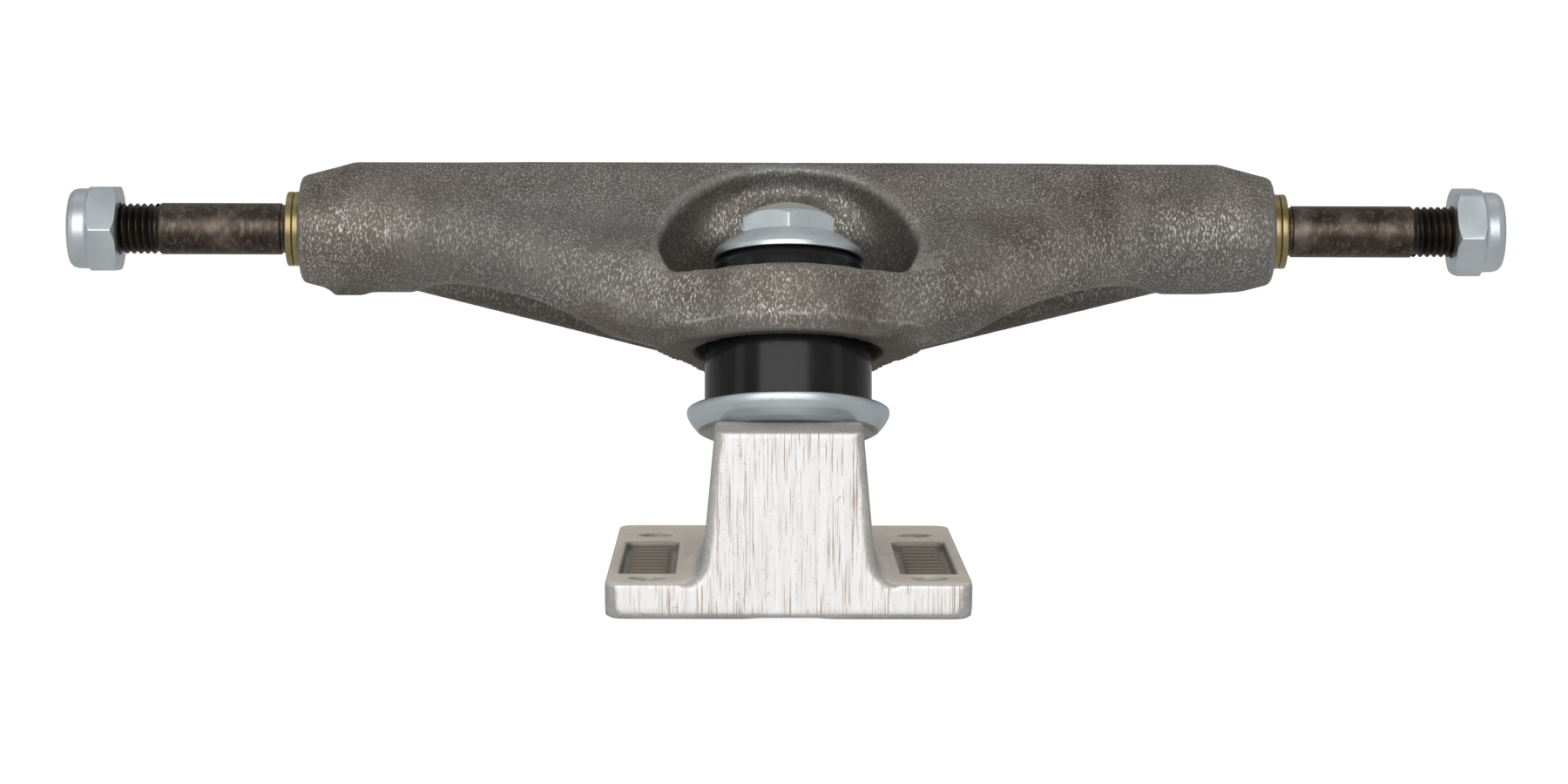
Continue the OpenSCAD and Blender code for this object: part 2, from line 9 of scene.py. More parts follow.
import bmesh
import bpy
from mathutils import Matrix, Vector
from mathutils.bvhtree import BVHTree
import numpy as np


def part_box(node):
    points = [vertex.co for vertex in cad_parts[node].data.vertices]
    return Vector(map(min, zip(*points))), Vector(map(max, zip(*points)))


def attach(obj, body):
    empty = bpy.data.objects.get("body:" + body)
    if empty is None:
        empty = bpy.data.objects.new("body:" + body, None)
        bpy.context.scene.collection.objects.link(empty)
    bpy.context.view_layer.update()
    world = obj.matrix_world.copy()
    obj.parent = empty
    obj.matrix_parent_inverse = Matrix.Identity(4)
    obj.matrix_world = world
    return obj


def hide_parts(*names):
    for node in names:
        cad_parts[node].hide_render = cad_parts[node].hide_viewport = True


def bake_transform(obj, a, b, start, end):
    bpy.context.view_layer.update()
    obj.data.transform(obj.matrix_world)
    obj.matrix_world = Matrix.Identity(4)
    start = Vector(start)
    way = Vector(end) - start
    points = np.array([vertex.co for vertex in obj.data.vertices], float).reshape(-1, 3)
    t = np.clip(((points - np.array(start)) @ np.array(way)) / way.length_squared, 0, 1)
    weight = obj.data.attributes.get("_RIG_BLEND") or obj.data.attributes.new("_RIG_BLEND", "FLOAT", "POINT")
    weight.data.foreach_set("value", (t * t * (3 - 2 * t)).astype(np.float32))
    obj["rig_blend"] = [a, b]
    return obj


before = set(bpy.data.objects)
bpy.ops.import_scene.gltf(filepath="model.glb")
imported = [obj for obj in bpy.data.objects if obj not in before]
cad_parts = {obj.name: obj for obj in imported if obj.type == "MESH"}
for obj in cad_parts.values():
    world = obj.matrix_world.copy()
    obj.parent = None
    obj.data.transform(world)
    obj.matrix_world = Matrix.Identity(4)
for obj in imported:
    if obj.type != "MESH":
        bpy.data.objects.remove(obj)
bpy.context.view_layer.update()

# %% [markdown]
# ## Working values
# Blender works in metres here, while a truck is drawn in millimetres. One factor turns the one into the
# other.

MM = 0.001

# %% [markdown]
# ## Camera
# The photograph was taken from in front, a little above the axle, with a long lens. A camera can be aimed
# with a constraint, but its roll and place matter here, so its three axes are worked out and set at once.

# %% Camera at the photograph's place
FOCAL_PX, IMAGE_W = 4520, 1800
camera_at = Vector((-6.5, -603.8, 79.1)) * MM
yaw, pitch, roll = (math.radians(a) for a in (0.576, 4.62, 0.184))

lens = bpy.data.cameras.new("photo_camera")
lens.sensor_width = 36
lens.lens = lens.sensor_width * FOCAL_PX / IMAGE_W
lens.clip_start, lens.clip_end = 0.01, 50
camera = bpy.data.objects.new("photo_camera", lens)
bpy.context.collection.objects.link(camera)

forward = Vector((math.sin(yaw) * math.cos(pitch), math.cos(yaw) * math.cos(pitch), -math.sin(pitch)))
across = forward.cross(Vector((0, 0, 1))).normalized()
upright = across.cross(forward)
right = across * math.cos(roll) + upright * math.sin(roll)
up = upright * math.cos(roll) - across * math.sin(roll)
camera.matrix_world = Matrix((right, up, -forward)).transposed().to_4x4()
camera.location = camera_at
bpy.context.scene.camera = camera
print("camera: lens %.1f mm, %.0f mm from the middle of the plate" % (lens.lens, camera_at.length / MM))

# %% [markdown]
# ## Floor and light
# A white sweep runs back from under the truck and curves up behind it, as in a product studio. It is one
# strip: a grid is folded up along its back edge, and a bevel turns the fold into a curve. Its face has to
# look up and forwards, because its finish is clear from behind.

# %% Helpers for meshes
TINY = 1e-6


def finished(bm, name):
    """Puts a bmesh into a new object at the origin, with its faces turned outwards."""
    bmesh.ops.remove_doubles(bm, verts=bm.verts, dist=TINY)
    bmesh.ops.recalc_face_normals(bm, faces=bm.faces)
    mesh = bpy.data.meshes.new(name)
    bm.to_mesh(mesh)
    bm.free()
    piece = bpy.data.objects.new(name, mesh)
    bpy.context.collection.objects.link(piece)
    return piece


def bevel(bm, geom, offset, segments, affect="EDGES", clamp=False):
    """Rounds edges or, with affect VERTICES, corner points."""
    bmesh.ops.bevel(bm, geom=geom, offset=offset, offset_type="OFFSET", segments=segments, profile=0.5,
                    affect=affect, material=-1, clamp_overlap=clamp)


def points_in(geometry):
    """The points in a mixed list of points, edges and faces."""
    return [g for g in geometry if isinstance(g, bmesh.types.BMVert)]


# %% Sweep behind the truck
SWEEP_HALF, SWEEP_BACK, SWEEP_CURVE = 4.0, 1.6, 0.8
BELOW_PLATE = 1e-4
bm = bmesh.new()
floor_at = Matrix.Translation((0, SWEEP_BACK - SWEEP_HALF, -BELOW_PLATE))
bmesh.ops.create_grid(bm, x_segments=1, y_segments=1, size=SWEEP_HALF, matrix=floor_at)
back_edge = [e for e in bm.edges if all(v.co.y > SWEEP_BACK - 0.01 for v in e.verts)]
wall = bmesh.ops.extrude_edge_only(bm, edges=back_edge)["geom"]
bmesh.ops.translate(bm, verts=points_in(wall), vec=(0, 0, SWEEP_HALF))
bevel(bm, back_edge, SWEEP_CURVE, segments=16)
sweep = finished(bm, "sweep")
facing = sweep.data.polygons[0].normal
if facing.z < -0.5 or facing.y > 0.5:
    sweep.data.flip_normals()
sweep.data.shade_smooth()
print("sweep:", len(sweep.data.polygons), "faces")

# %% [markdown]
# Soft light comes from large area lamps: one high in front, one at each side, and one over the back that
# draws a bright line along the top edges. The white surroundings fill the shadows.

# %% Lamps and surroundings
MIDDLE = Vector((0, 0, 0.045))
ROOM_LIGHT = 0.36


def lamp(name, at, size, watts):
    """An area lamp of a given size in metres, pointed at the middle of the truck."""
    data = bpy.data.lights.new(name, "AREA")
    data.shape = "RECTANGLE"
    data.size, data.size_y = size
    data.energy = watts
    holder = bpy.data.objects.new(name, data)
    bpy.context.collection.objects.link(holder)
    holder.location = at
    holder.rotation_euler = (MIDDLE - Vector(at)).to_track_quat("-Z", "Y").to_euler()


lamp("front_box", (-0.12, -0.95, 0.34), (1.3, 0.75), 6.2)
lamp("left_box", (-0.8, -0.25, 0.22), (0.2, 0.7), 0.22)
lamp("right_box", (0.8, -0.25, 0.22), (0.2, 0.7), 0.15)
lamp("top_box", (0, 0.15, 0.9), (1.2, 0.5), 0.5)

world = bpy.data.worlds.new("white_room")
world.use_nodes = True
room = world.node_tree.nodes["Background"]
room.inputs["Color"].default_value = (1, 1, 1, 1)
room.inputs["Strength"].default_value = ROOM_LIGHT
bpy.context.scene.world = world
bpy.context.scene.view_settings.view_transform = "Standard"

# %% [markdown]
# ## Node helpers
# A finish is a small tree of nodes. Four short helpers add a node with its settings, wire sockets together,
# start a material and make a colour ramp, so that each finish below reads as a list of what feeds what.

# %% Helpers for node trees
def add(tree, kind, label="", **values):
    """Adds a node to a tree and sets its properties."""
    node = tree.nodes.new(kind)
    node.label = label
    for key, value in values.items():
        setattr(node, key, value)
    return node


def wire(tree, *pairs):
    """Links output sockets to input sockets, pair by pair."""
    for source, target in pairs:
        tree.links.new(source, target)


def finish_named(slot):
    """A new material for one of the record's slots, with its Principled shader ready for nodes."""
    material = bpy.data.materials.new(slot + "_finish")
    material.use_nodes = True
    tree = material.node_tree
    return material, tree, tree.nodes["Principled BSDF"]


def ramp(tree, *stops):
    """A colour ramp from (position, colour) stops, where a colour may be one grey value."""
    node = add(tree, "ShaderNodeValToRGB")
    elements = node.color_ramp.elements
    while len(elements) < len(stops):
        elements.new(0.5)
    for element, (position, colour) in zip(elements, stops):
        element.position = position
        element.color = (*colour, 1) if isinstance(colour, tuple) else (colour, colour, colour, 1)
    return node


# %% [markdown]
# The sweep is white paper. It glows a little, and more for the camera than for the truck, so that it looks
# pure white without washing out the metal. From behind it is clear, so that the truck can be seen from
# below: a Mix Shader takes a transparent shader there.

# %% Finish of the sweep
PAPER_GLOW, MORE_FOR_CAMERA = 0.30, 1.3
floor_finish, tree, shader = finish_named("sweep_paper")
shader.inputs["Roughness"].default_value = 0.9
shader.inputs["Specular IOR Level"].default_value = 0.1
place = add(tree, "ShaderNodeTexCoord")
fibre = add(tree, "ShaderNodeTexNoise")
fibre.inputs["Scale"].default_value = 30
tint = ramp(tree, (0.3, 0.53), (0.7, 0.55))
ray = add(tree, "ShaderNodeLightPath")
glow = add(tree, "ShaderNodeMath", operation="MULTIPLY_ADD")
glow.inputs[1].default_value = MORE_FOR_CAMERA
glow.inputs[2].default_value = PAPER_GLOW
seen_from = add(tree, "ShaderNodeNewGeometry")
clear = add(tree, "ShaderNodeBsdfTransparent")
one_way = add(tree, "ShaderNodeMixShader")
wire(tree, (place.outputs["Object"], fibre.inputs["Vector"]), (fibre.outputs["Fac"], tint.inputs["Fac"]),
     (tint.outputs["Color"], shader.inputs["Base Color"]),
     (tint.outputs["Color"], shader.inputs["Emission Color"]),
     (ray.outputs["Is Camera Ray"], glow.inputs[0]),
     (glow.outputs["Value"], shader.inputs["Emission Strength"]),
     (seen_from.outputs["Backfacing"], one_way.inputs[0]), (shader.outputs["BSDF"], one_way.inputs[1]),
     (clear.outputs["BSDF"], one_way.inputs[2]),
     (one_way.outputs["Shader"], tree.nodes["Material Output"].inputs["Surface"]))
sweep.data.materials.append(floor_finish)
print("finish:", floor_finish.name)

# %% [markdown]
# ## Speckle shared by the metals
# A tumbled casting and a plated nut both show scratches, pits and cloudy patches, only at different sizes.
# That is one node group. Its scratches are noise that is stretched along two slanting directions, and the
# stronger of the two counts.

# %% Node group for clouds, flecks and pits
SLANTS = (40, -35)
STRETCH = (1, 1, 0.4)


def speckle_group():
    """Clouds, flecks and pits as values from 0 to 1, and a height for bumps."""
    group = bpy.data.node_groups.new("metal_speckle", "ShaderNodeTree")
    for name, default in (("Cloud Scale", 60.0), ("Fleck Scale", 900.0), ("Pit Scale", 500.0)):
        socket = group.interface.new_socket(name, in_out="INPUT", socket_type="NodeSocketFloat")
        socket.default_value = default
    for name in ("Clouds", "Flecks", "Pits", "Height"):
        group.interface.new_socket(name, in_out="OUTPUT", socket_type="NodeSocketFloat")
    enter = add(group, "NodeGroupInput")
    leave = add(group, "NodeGroupOutput")
    place = add(group, "ShaderNodeTexCoord")
    cloud = add(group, "ShaderNodeTexNoise", "clouds")
    cloud.inputs["Detail"].default_value = 4
    pit = add(group, "ShaderNodeTexNoise", "pits")
    pit.inputs["Detail"].default_value = 2
    pit_mask = ramp(group, (0.67, 0), (0.76, 1))
    for noise, scale in ((cloud, "Cloud Scale"), (pit, "Pit Scale")):
        wire(group, (place.outputs["Object"], noise.inputs["Vector"]),
             (enter.outputs[scale], noise.inputs["Scale"]))
    strokes = []
    for slant in SLANTS:
        stretch = add(group, "ShaderNodeMapping")
        stretch.inputs["Rotation"].default_value = (0, math.radians(slant), 0)
        stretch.inputs["Scale"].default_value = STRETCH
        stroke = add(group, "ShaderNodeTexNoise", "strokes")
        stroke.inputs["Detail"].default_value = 2
        wire(group, (place.outputs["Object"], stretch.inputs["Vector"]),
             (stretch.outputs["Vector"], stroke.inputs["Vector"]),
             (enter.outputs["Fleck Scale"], stroke.inputs["Scale"]))
        strokes.append(stroke.outputs["Fac"])
    fleck = add(group, "ShaderNodeMath", operation="MAXIMUM")
    fleck_mask = ramp(group, (0.56, 0), (0.70, 1))
    height = add(group, "ShaderNodeMath", operation="SUBTRACT")
    wire(group, (strokes[0], fleck.inputs[0]), (strokes[1], fleck.inputs[1]),
         (fleck.outputs["Value"], fleck_mask.inputs["Fac"]), (pit.outputs["Fac"], pit_mask.inputs["Fac"]),
         (fleck.outputs["Value"], height.inputs[0]), (pit_mask.outputs["Color"], height.inputs[1]),
         (cloud.outputs["Fac"], leave.inputs["Clouds"]),
         (fleck_mask.outputs["Color"], leave.inputs["Flecks"]),
         (pit_mask.outputs["Color"], leave.inputs["Pits"]), (height.outputs["Value"], leave.inputs["Height"]))
    return group


metal_speckle = speckle_group()
print("node group:", metal_speckle.name)

# %% [markdown]
# Three helpers bring the group into a material, let its clouds drift between two colours, and read an
# attribute of the mesh.

# %% Helpers that use the group
def speckle(tree, cloud, fleck, pit):
    """The speckle group in a material, with the scale of each of its noises."""
    node = add(tree, "ShaderNodeGroup")
    node.node_tree = metal_speckle
    for name, value in (("Cloud Scale", cloud), ("Fleck Scale", fleck), ("Pit Scale", pit)):
        node.inputs[name].default_value = value
    return node


def clouded(tree, skin, dark, light):
    """A colour, or a grey value, that drifts between two with the speckle's clouds."""
    node = ramp(tree, (0.3, dark), (0.7, light))
    wire(tree, (skin.outputs["Clouds"], node.inputs["Fac"]))
    return node.outputs["Color"]


def mask(tree, name):
    """The value of a mesh's attribute, which is 0 where a mesh lacks it."""
    return add(tree, "ShaderNodeAttribute", attribute_name=name).outputs["Fac"]


# %% [markdown]
# The other helpers mix colours by masks and make the masks. A mask is a value from 0 to 1: a noise that is
# mapped to that range, or two masks multiplied.

# %% Helpers that mix and map
def mixed(tree, factor, first, second, strength=1.0):
    """Mixes two colours by a mask times a strength; each colour is a socket or three numbers."""
    node = add(tree, "ShaderNodeMix", data_type="RGBA")
    if strength != 1.0:
        scaled = add(tree, "ShaderNodeMath", operation="MULTIPLY")
        scaled.inputs[1].default_value = strength
        wire(tree, (factor, scaled.inputs[0]))
        factor = scaled.outputs["Value"]
    wire(tree, (factor, node.inputs["Factor"]))
    for socket, colour in ((node.inputs["A"], first), (node.inputs["B"], second)):
        if isinstance(colour, tuple):
            socket.default_value = (*colour, 1)
        else:
            wire(tree, (colour, socket))
    return node.outputs["Result"]


def span(tree, value, start, end):
    """A value mapped so that start gives 0 and end gives 1."""
    node = add(tree, "ShaderNodeMapRange")
    node.inputs["From Min"].default_value, node.inputs["From Max"].default_value = start, end
    wire(tree, (value, node.inputs["Value"]))
    return node.outputs["Result"]


def product(tree, first, second):
    """Two values multiplied, so that a mask counts only where the other does too."""
    node = add(tree, "ShaderNodeMath", operation="MULTIPLY")
    wire(tree, (first, node.inputs[0]), (second, node.inputs[1]))
    return node.outputs["Value"]


def stretched_noise(tree, scale):
    """Noise with its own scale along each axis, which draws lines along the axis with the smallest one."""
    place = add(tree, "ShaderNodeTexCoord")
    stretch = add(tree, "ShaderNodeMapping")
    stretch.inputs["Scale"].default_value = scale
    noise = add(tree, "ShaderNodeTexNoise")
    noise.inputs["Scale"].default_value = 1
    noise.inputs["Detail"].default_value = 2
    wire(tree, (place.outputs["Object"], stretch.inputs["Vector"]),
         (stretch.outputs["Vector"], noise.inputs["Vector"]))
    return noise.outputs["Fac"]


def bumped(tree, shader, height, strength, depth):
    """Fine relief in a shader's normal, of a given depth in metres."""
    node = add(tree, "ShaderNodeBump")
    node.inputs["Strength"].default_value = strength
    node.inputs["Distance"].default_value = depth
    wire(tree, (height, node.inputs["Height"]), (node.outputs["Normal"], shader.inputs["Normal"]))


# %% [markdown]
# ## Raw casting
# The hanger is left as it comes from the tumbling drum: a grey-brown skin with short light scratches,
# a few pits and cloudy patches. Edges that stand proud are brighter, partly from wear and partly as a
# painted highlight; the webs behind the arms carry painted shade; and the ring is machined flat
# underneath. These three masks are attributes of the mesh, so that wear, painted light and machining sit
# on the real form.

# %% Finish of the hanger
SKIN_DARK, SKIN_LIGHT = (0.122, 0.102, 0.079), (0.243, 0.220, 0.188)
SKIN_GREY = (0.19, 0.189, 0.187)
SKIN_SCRATCH, SKIN_PIT = (0.68, 0.65, 0.61), (0.05, 0.045, 0.04)
SKIN_WORN_AND_HIGHLIT, SKIN_WEB_SHADE = (0.50, 0.49, 0.47), (0.085, 0.074, 0.062)
CUT_DARK, CUT_LIGHT = (0.19, 0.168, 0.145), (0.26, 0.235, 0.21)

cast_hanger, tree, shader = finish_named("cast_hanger")
skin = speckle(tree, cloud=110, fleck=3800, pit=1300)
colour = clouded(tree, skin, SKIN_DARK, SKIN_LIGHT)
patches = span(tree, stretched_noise(tree, (38, 38, 55)), 0.45, 0.62)
colour = mixed(tree, patches, colour, SKIN_GREY, 0.55)
drifts = span(tree, stretched_noise(tree, (85, 85, 110)), 0.08, 0.56)
colour = mixed(tree, product(tree, skin.outputs["Flecks"], drifts), colour, SKIN_SCRATCH, 0.88)
colour = mixed(tree, skin.outputs["Pits"], colour, SKIN_PIT, 0.6)
# Proud edges and the pocket rim: lighter, partly from wear and partly a painted highlight.
colour = mixed(tree, mask(tree, "proud"), colour, SKIN_WORN_AND_HIGHLIT, 0.28)
# Webs behind the arms: painted shade.
colour = mixed(tree, mask(tree, "web_shade"), colour, SKIN_WEB_SHADE, 0.6)
cut = ramp(tree, (0.35, CUT_DARK), (0.65, CUT_LIGHT))
cutter_lines = stretched_noise(tree, (150, 2500, 2500))
wire(tree, (cutter_lines, cut.inputs["Fac"]))
colour = mixed(tree, mask(tree, "machined"), colour, cut.outputs["Color"])
print("skin of the hanger:", len(tree.nodes), "nodes")

# %% [markdown]
# Where the two halves of the mould met, a thin broken line runs across the front of the ring, and the skin
# below it is darker and smoother. The line lies in a plane across the kingpin, so the distance from that
# plane is its mask, on the front of the ring only. A little noise makes the line waver.

# %% Parting line
KINGPIN_TILT = math.radians(15.5)
PARTING, WAVER = 34.0 * MM, 1.6 * MM
BELOW_LINE, LINE = (0.14, 0.125, 0.108), (0.50, 0.48, 0.45)

place = add(tree, "ShaderNodeTexCoord")
station = add(tree, "ShaderNodeVectorMath", operation="DOT_PRODUCT")
station.inputs[1].default_value = (0, math.sin(KINGPIN_TILT), math.cos(KINGPIN_TILT))
waver = add(tree, "ShaderNodeMath", operation="MULTIPLY_ADD")
waver.inputs[1].default_value = WAVER
waver.inputs[2].default_value = PARTING - WAVER / 2
off = add(tree, "ShaderNodeMath", operation="SUBTRACT")
size = add(tree, "ShaderNodeMath", operation="ABSOLUTE")
split = add(tree, "ShaderNodeSeparateXYZ")
wire(tree, (place.outputs["Object"], station.inputs[0]), (station.outputs["Value"], off.inputs[0]),
     (skin.outputs["Clouds"], waver.inputs[0]), (waver.outputs["Value"], off.inputs[1]),
     (off.outputs["Value"], size.inputs[0]), (place.outputs["Object"], split.inputs["Vector"]))
near = span(tree, size.outputs["Value"], 0.3 * MM, 0.05 * MM)
below = span(tree, off.outputs["Value"], -0.1 * MM, -0.9 * MM)
front = span(tree, split.outputs["Y"], -23 * MM, -26 * MM)
broken = span(tree, stretched_noise(tree, (260, 260, 260)), 0.44, 0.60)
colour = mixed(tree, product(tree, below, front), colour, BELOW_LINE, 0.55)
ridge = product(tree, product(tree, near, front), broken)
colour = mixed(tree, ridge, colour, LINE, 0.6)

rough = ramp(tree, (0.0, 0.62), (1.0, 0.42))
wire(tree, (skin.outputs["Flecks"], rough.inputs["Fac"]),
     (rough.outputs["Color"], shader.inputs["Roughness"]), (colour, shader.inputs["Base Color"]))
shader.inputs["Metallic"].default_value = 0.75
bumped(tree, shader, skin.outputs["Height"], strength=0.35, depth=0.2 * MM)
print("finish:", cast_hanger.name)

# %% [markdown]
# ## Ground casting
# The baseplate is a grey casting whose front has been ground flat and whose flange is a warm satin, painted
# lighter on its level faces as if lit from above. The grinding leaves fine upright lines, some of them brown.
# Noise that is squeezed across and stretched upwards gives such lines. The sunken panels and bolt holes get
# painted shade.

# %% Finish of the baseplate
GREY_DARK, GREY_LIGHT, GREY_FLECK = (0.36, 0.345, 0.33), (0.50, 0.485, 0.47), (0.80, 0.78, 0.75)
SATIN_TOPLIT_DARK, SATIN_TOPLIT_LIGHT = (0.88, 0.78, 0.65), (0.98, 0.90, 0.78)
RECESS_SHADE, BASE_PIT = (0.20, 0.165, 0.13), (0.16, 0.14, 0.12)
GROUND_DARK, GROUND_LIGHT = (0.91, 0.892, 0.875), (0.985, 0.98, 0.972)
BROWN_HAIR, SMUDGE, GROUND_PIT = (0.36, 0.24, 0.16), (0.42, 0.40, 0.40), (0.40, 0.38, 0.37)

cast_base, tree, shader = finish_named("cast_base")
skin = speckle(tree, cloud=120, fleck=3600, pit=1200)
colour = mixed(tree, skin.outputs["Flecks"], clouded(tree, skin, GREY_DARK, GREY_LIGHT), GREY_FLECK, 0.4)
# Level faces: warm satin tone, partly real and partly painted light from above.
colour = mixed(tree, mask(tree, "level"), colour, clouded(tree, skin, SATIN_TOPLIT_DARK, SATIN_TOPLIT_LIGHT))
# Sunken panels and bolt holes: painted shade.
colour = mixed(tree, mask(tree, "sunk"), colour, RECESS_SHADE, 0.85)
colour = mixed(tree, skin.outputs["Pits"], colour, BASE_PIT, 0.4)
bright = ramp(tree, (0.3, GROUND_DARK), (0.6, GROUND_LIGHT))
wire(tree, (stretched_noise(tree, (1700, 200, 45)), bright.inputs["Fac"]))
ground = bright.outputs["Color"]
for scale, strength in (((7000, 200, 130), 0.85), ((4200, 200, 75), 0.75)):
    hairs = span(tree, stretched_noise(tree, scale), 0.62, 0.66)
    ground = mixed(tree, hairs, ground, BROWN_HAIR, strength)
smudges = product(tree, skin.outputs["Flecks"], span(tree, skin.outputs["Clouds"], 0.45, 0.65))
ground = mixed(tree, smudges, ground, SMUDGE, 0.35)
ground = mixed(tree, skin.outputs["Pits"], ground, GROUND_PIT, 0.5)
colour = mixed(tree, mask(tree, "ground"), colour, ground)
wire(tree, (colour, shader.inputs["Base Color"]))
shader.inputs["Metallic"].default_value = 0.15
shader.inputs["Roughness"].default_value = 0.42
bumped(tree, shader, skin.outputs["Height"], strength=0.2, depth=0.15 * MM)
print("finish:", cast_base.name)

# %% [markdown]
# ## Plated and bare steel
# Washers, nuts and kingpin carry bright zinc with a blue cast, the speed rings yellow zinc. Both are clouds
# of two colours over metal. Attributes mark a painted yellow-green reflection of the dim room and the
# hanger's pocket on the kingpin's crown, and where the zinc is matte, on the kingpin's whole head.

# %% Finishes of the plated pieces
PAINTED_REFLECTION, MATTE = (0.55, 0.56, 0.46), (0.48, 0.48, 0.48)


def plated(name, dark, light, pit, roughness):
    """A plated finish between two colours, with darker pits and a roughness that drifts a little."""
    material, tree, shader = finish_named(name)
    skin = speckle(tree, cloud=150, fleck=1800, pit=900)
    colour = mixed(tree, skin.outputs["Pits"], clouded(tree, skin, dark, light), pit, 0.35)
    # A painted yellow-green reflection wherever the crown's attribute is set.
    colour = mixed(tree, mask(tree, "crown_reflection"), colour, PAINTED_REFLECTION, 0.8)
    rough = mixed(tree, mask(tree, "matte"), clouded(tree, skin, roughness, roughness + 0.1), MATTE)
    wire(tree, (rough, shader.inputs["Roughness"]), (colour, shader.inputs["Base Color"]))
    shader.inputs["Metallic"].default_value = 1.0
    bumped(tree, shader, skin.outputs["Height"], strength=0.05, depth=0.1 * MM)
    return material


zinc = plated("zinc", (0.60, 0.67, 0.70), (0.76, 0.81, 0.83), (0.34, 0.37, 0.39), 0.34)
yellow_zinc = plated("yellow_zinc", (0.30, 0.23, 0.095), (0.43, 0.365, 0.195), (0.25, 0.22, 0.12), 0.28)
print("finishes:", zinc.name, yellow_zinc.name)

# %% [markdown]
# The axle is bare steel, dark and blotched with oil and rust, and darkest in its threads. How far a point
# lies out along the axle tells where the threads are.

# %% Finish of the axle
SHANK_END = 96.65
BLOTCHES = ((0.30, (0.035, 0.026, 0.020)), (0.52, (0.085, 0.066, 0.052)), (0.72, (0.22, 0.18, 0.145)))
STEEL_FLECK, OIL = (0.32, 0.28, 0.24), (0.018, 0.013, 0.010)

dark_steel, tree, shader = finish_named("dark_steel")
skin = speckle(tree, cloud=220, fleck=1300, pit=600)
blotches = ramp(tree, *BLOTCHES)
place = add(tree, "ShaderNodeTexCoord")
along = add(tree, "ShaderNodeSeparateXYZ")
outwards = add(tree, "ShaderNodeMath", operation="ABSOLUTE")
wire(tree, (skin.outputs["Clouds"], blotches.inputs["Fac"]),
     (place.outputs["Object"], along.inputs["Vector"]), (along.outputs["X"], outwards.inputs[0]))
colour = mixed(tree, skin.outputs["Flecks"], blotches.outputs["Color"], STEEL_FLECK, 0.3)
oily = span(tree, outwards.outputs["Value"], (SHANK_END - 0.45) * MM, (SHANK_END + 0.75) * MM)
colour = mixed(tree, oily, colour, OIL, 0.85)
wire(tree, (clouded(tree, skin, 0.3, 0.5), shader.inputs["Roughness"]), (colour, shader.inputs["Base Color"]))
shader.inputs["Metallic"].default_value = 0.85
bumped(tree, shader, skin.outputs["Height"], strength=0.12, depth=0.1 * MM)
print("finish:", dark_steel.name)

# %% [markdown]
# ## Urethane and nylon
# The bushings are cast urethane: black, glossy, with a faint waviness. The rings in the lock nuts are
# white nylon with a waxy surface. Both need a little unevenness, or they would look like paint.

# %% Finishes of the soft pieces
BLACK_DARK, BLACK_LIGHT = (0.006, 0.006, 0.007), (0.014, 0.014, 0.015)
NYLON_DARK, NYLON_LIGHT = (0.62, 0.62, 0.60), (0.74, 0.74, 0.72)

urethane, tree, shader = finish_named("urethane_black")
skin = speckle(tree, cloud=80, fleck=500, pit=300)
wire(tree, (clouded(tree, skin, BLACK_DARK, BLACK_LIGHT), shader.inputs["Base Color"]),
     (clouded(tree, skin, 0.12, 0.24), shader.inputs["Roughness"]))
shader.inputs["Specular IOR Level"].default_value = 0.3
bumped(tree, shader, skin.outputs["Clouds"], strength=0.15, depth=0.3 * MM)

nylon, tree, shader = finish_named("nylon")
skin = speckle(tree, cloud=200, fleck=900, pit=500)
wire(tree, (clouded(tree, skin, NYLON_DARK, NYLON_LIGHT), shader.inputs["Base Color"]))
shader.inputs["Roughness"].default_value = 0.4
bumped(tree, shader, skin.outputs["Height"], strength=0.1, depth=0.1 * MM)
print("finishes:", urethane.name, nylon.name)

# %% [markdown]
# ## Castings
# A casting has no sharp inside corners: where two forms meet, metal fills the corner. The CAD solids have
# the forms but not these fillets. A copy of the solid gets an even skin of small squares, and then only
# the points that lie in a hollow are smoothed, over and over, until the hollows are round.

# %% Skin of a casting
def even_skin(node, name, voxel):
    """A copy of a CAD node's mesh, rebuilt as one skin of small squares, and a tree of the true surface."""
    bm = bmesh.new()
    bm.from_mesh(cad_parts[node].data)
    bmesh.ops.remove_doubles(bm, verts=bm.verts, dist=TINY)
    surface = BVHTree.FromBMesh(bm)
    piece = finished(bm, name)
    remesh = piece.modifiers.new("skin", "REMESH")
    remesh.mode = "VOXEL"
    remesh.voxel_size = voxel
    skin = bpy.data.meshes.new_from_object(piece.evaluated_get(bpy.context.evaluated_depsgraph_get()))
    skin.name = name
    piece.modifiers.clear()
    piece.data = skin
    return piece, surface


def bulge(vert):
    """How far a point stands proud of its neighbours: positive on an edge, negative in a hollow."""
    around = [e.other_vert(vert).co for e in vert.link_edges]
    return (vert.co - sum(around, Vector()) / len(around)).dot(vert.normal)


def smooth(bm, verts, rounds=1):
    """Moves points halfway to the middle of their neighbours, round after round."""
    for _ in range(rounds):
        bmesh.ops.smooth_vert(bm, verts=verts, factor=0.5, use_axis_x=True, use_axis_y=True, use_axis_z=True)


# %% [markdown]
# Smoothing in the hollows makes the fillets. It also pulls edges in, so points that sank below the true
# surface are brought back to it afterwards.

# %% Fillets of a casting
HOLLOW = -4e-7
STEP_ROUNDS = 3


def round_hollows(bm, rounds, tight_rounds, is_tight):
    """Takes the steps out of the skin, then smooths the hollows, with fewer rounds in tight places."""
    smooth(bm, bm.verts[:], STEP_ROUNDS)
    tight = {v for v in bm.verts if is_tight(v)}
    for number in range(rounds):
        bm.normal_update()
        hollow = [v for v in bm.verts if bulge(v) < HOLLOW]
        smooth(bm, hollow if number < tight_rounds else [v for v in hollow if v not in tight])


def with_neighbours(verts, rings):
    """The given points and the rings of points round them."""
    grown = set(verts)
    for _ in range(rings):
        grown |= {e.other_vert(v) for v in grown for e in v.link_edges}
    return list(grown)


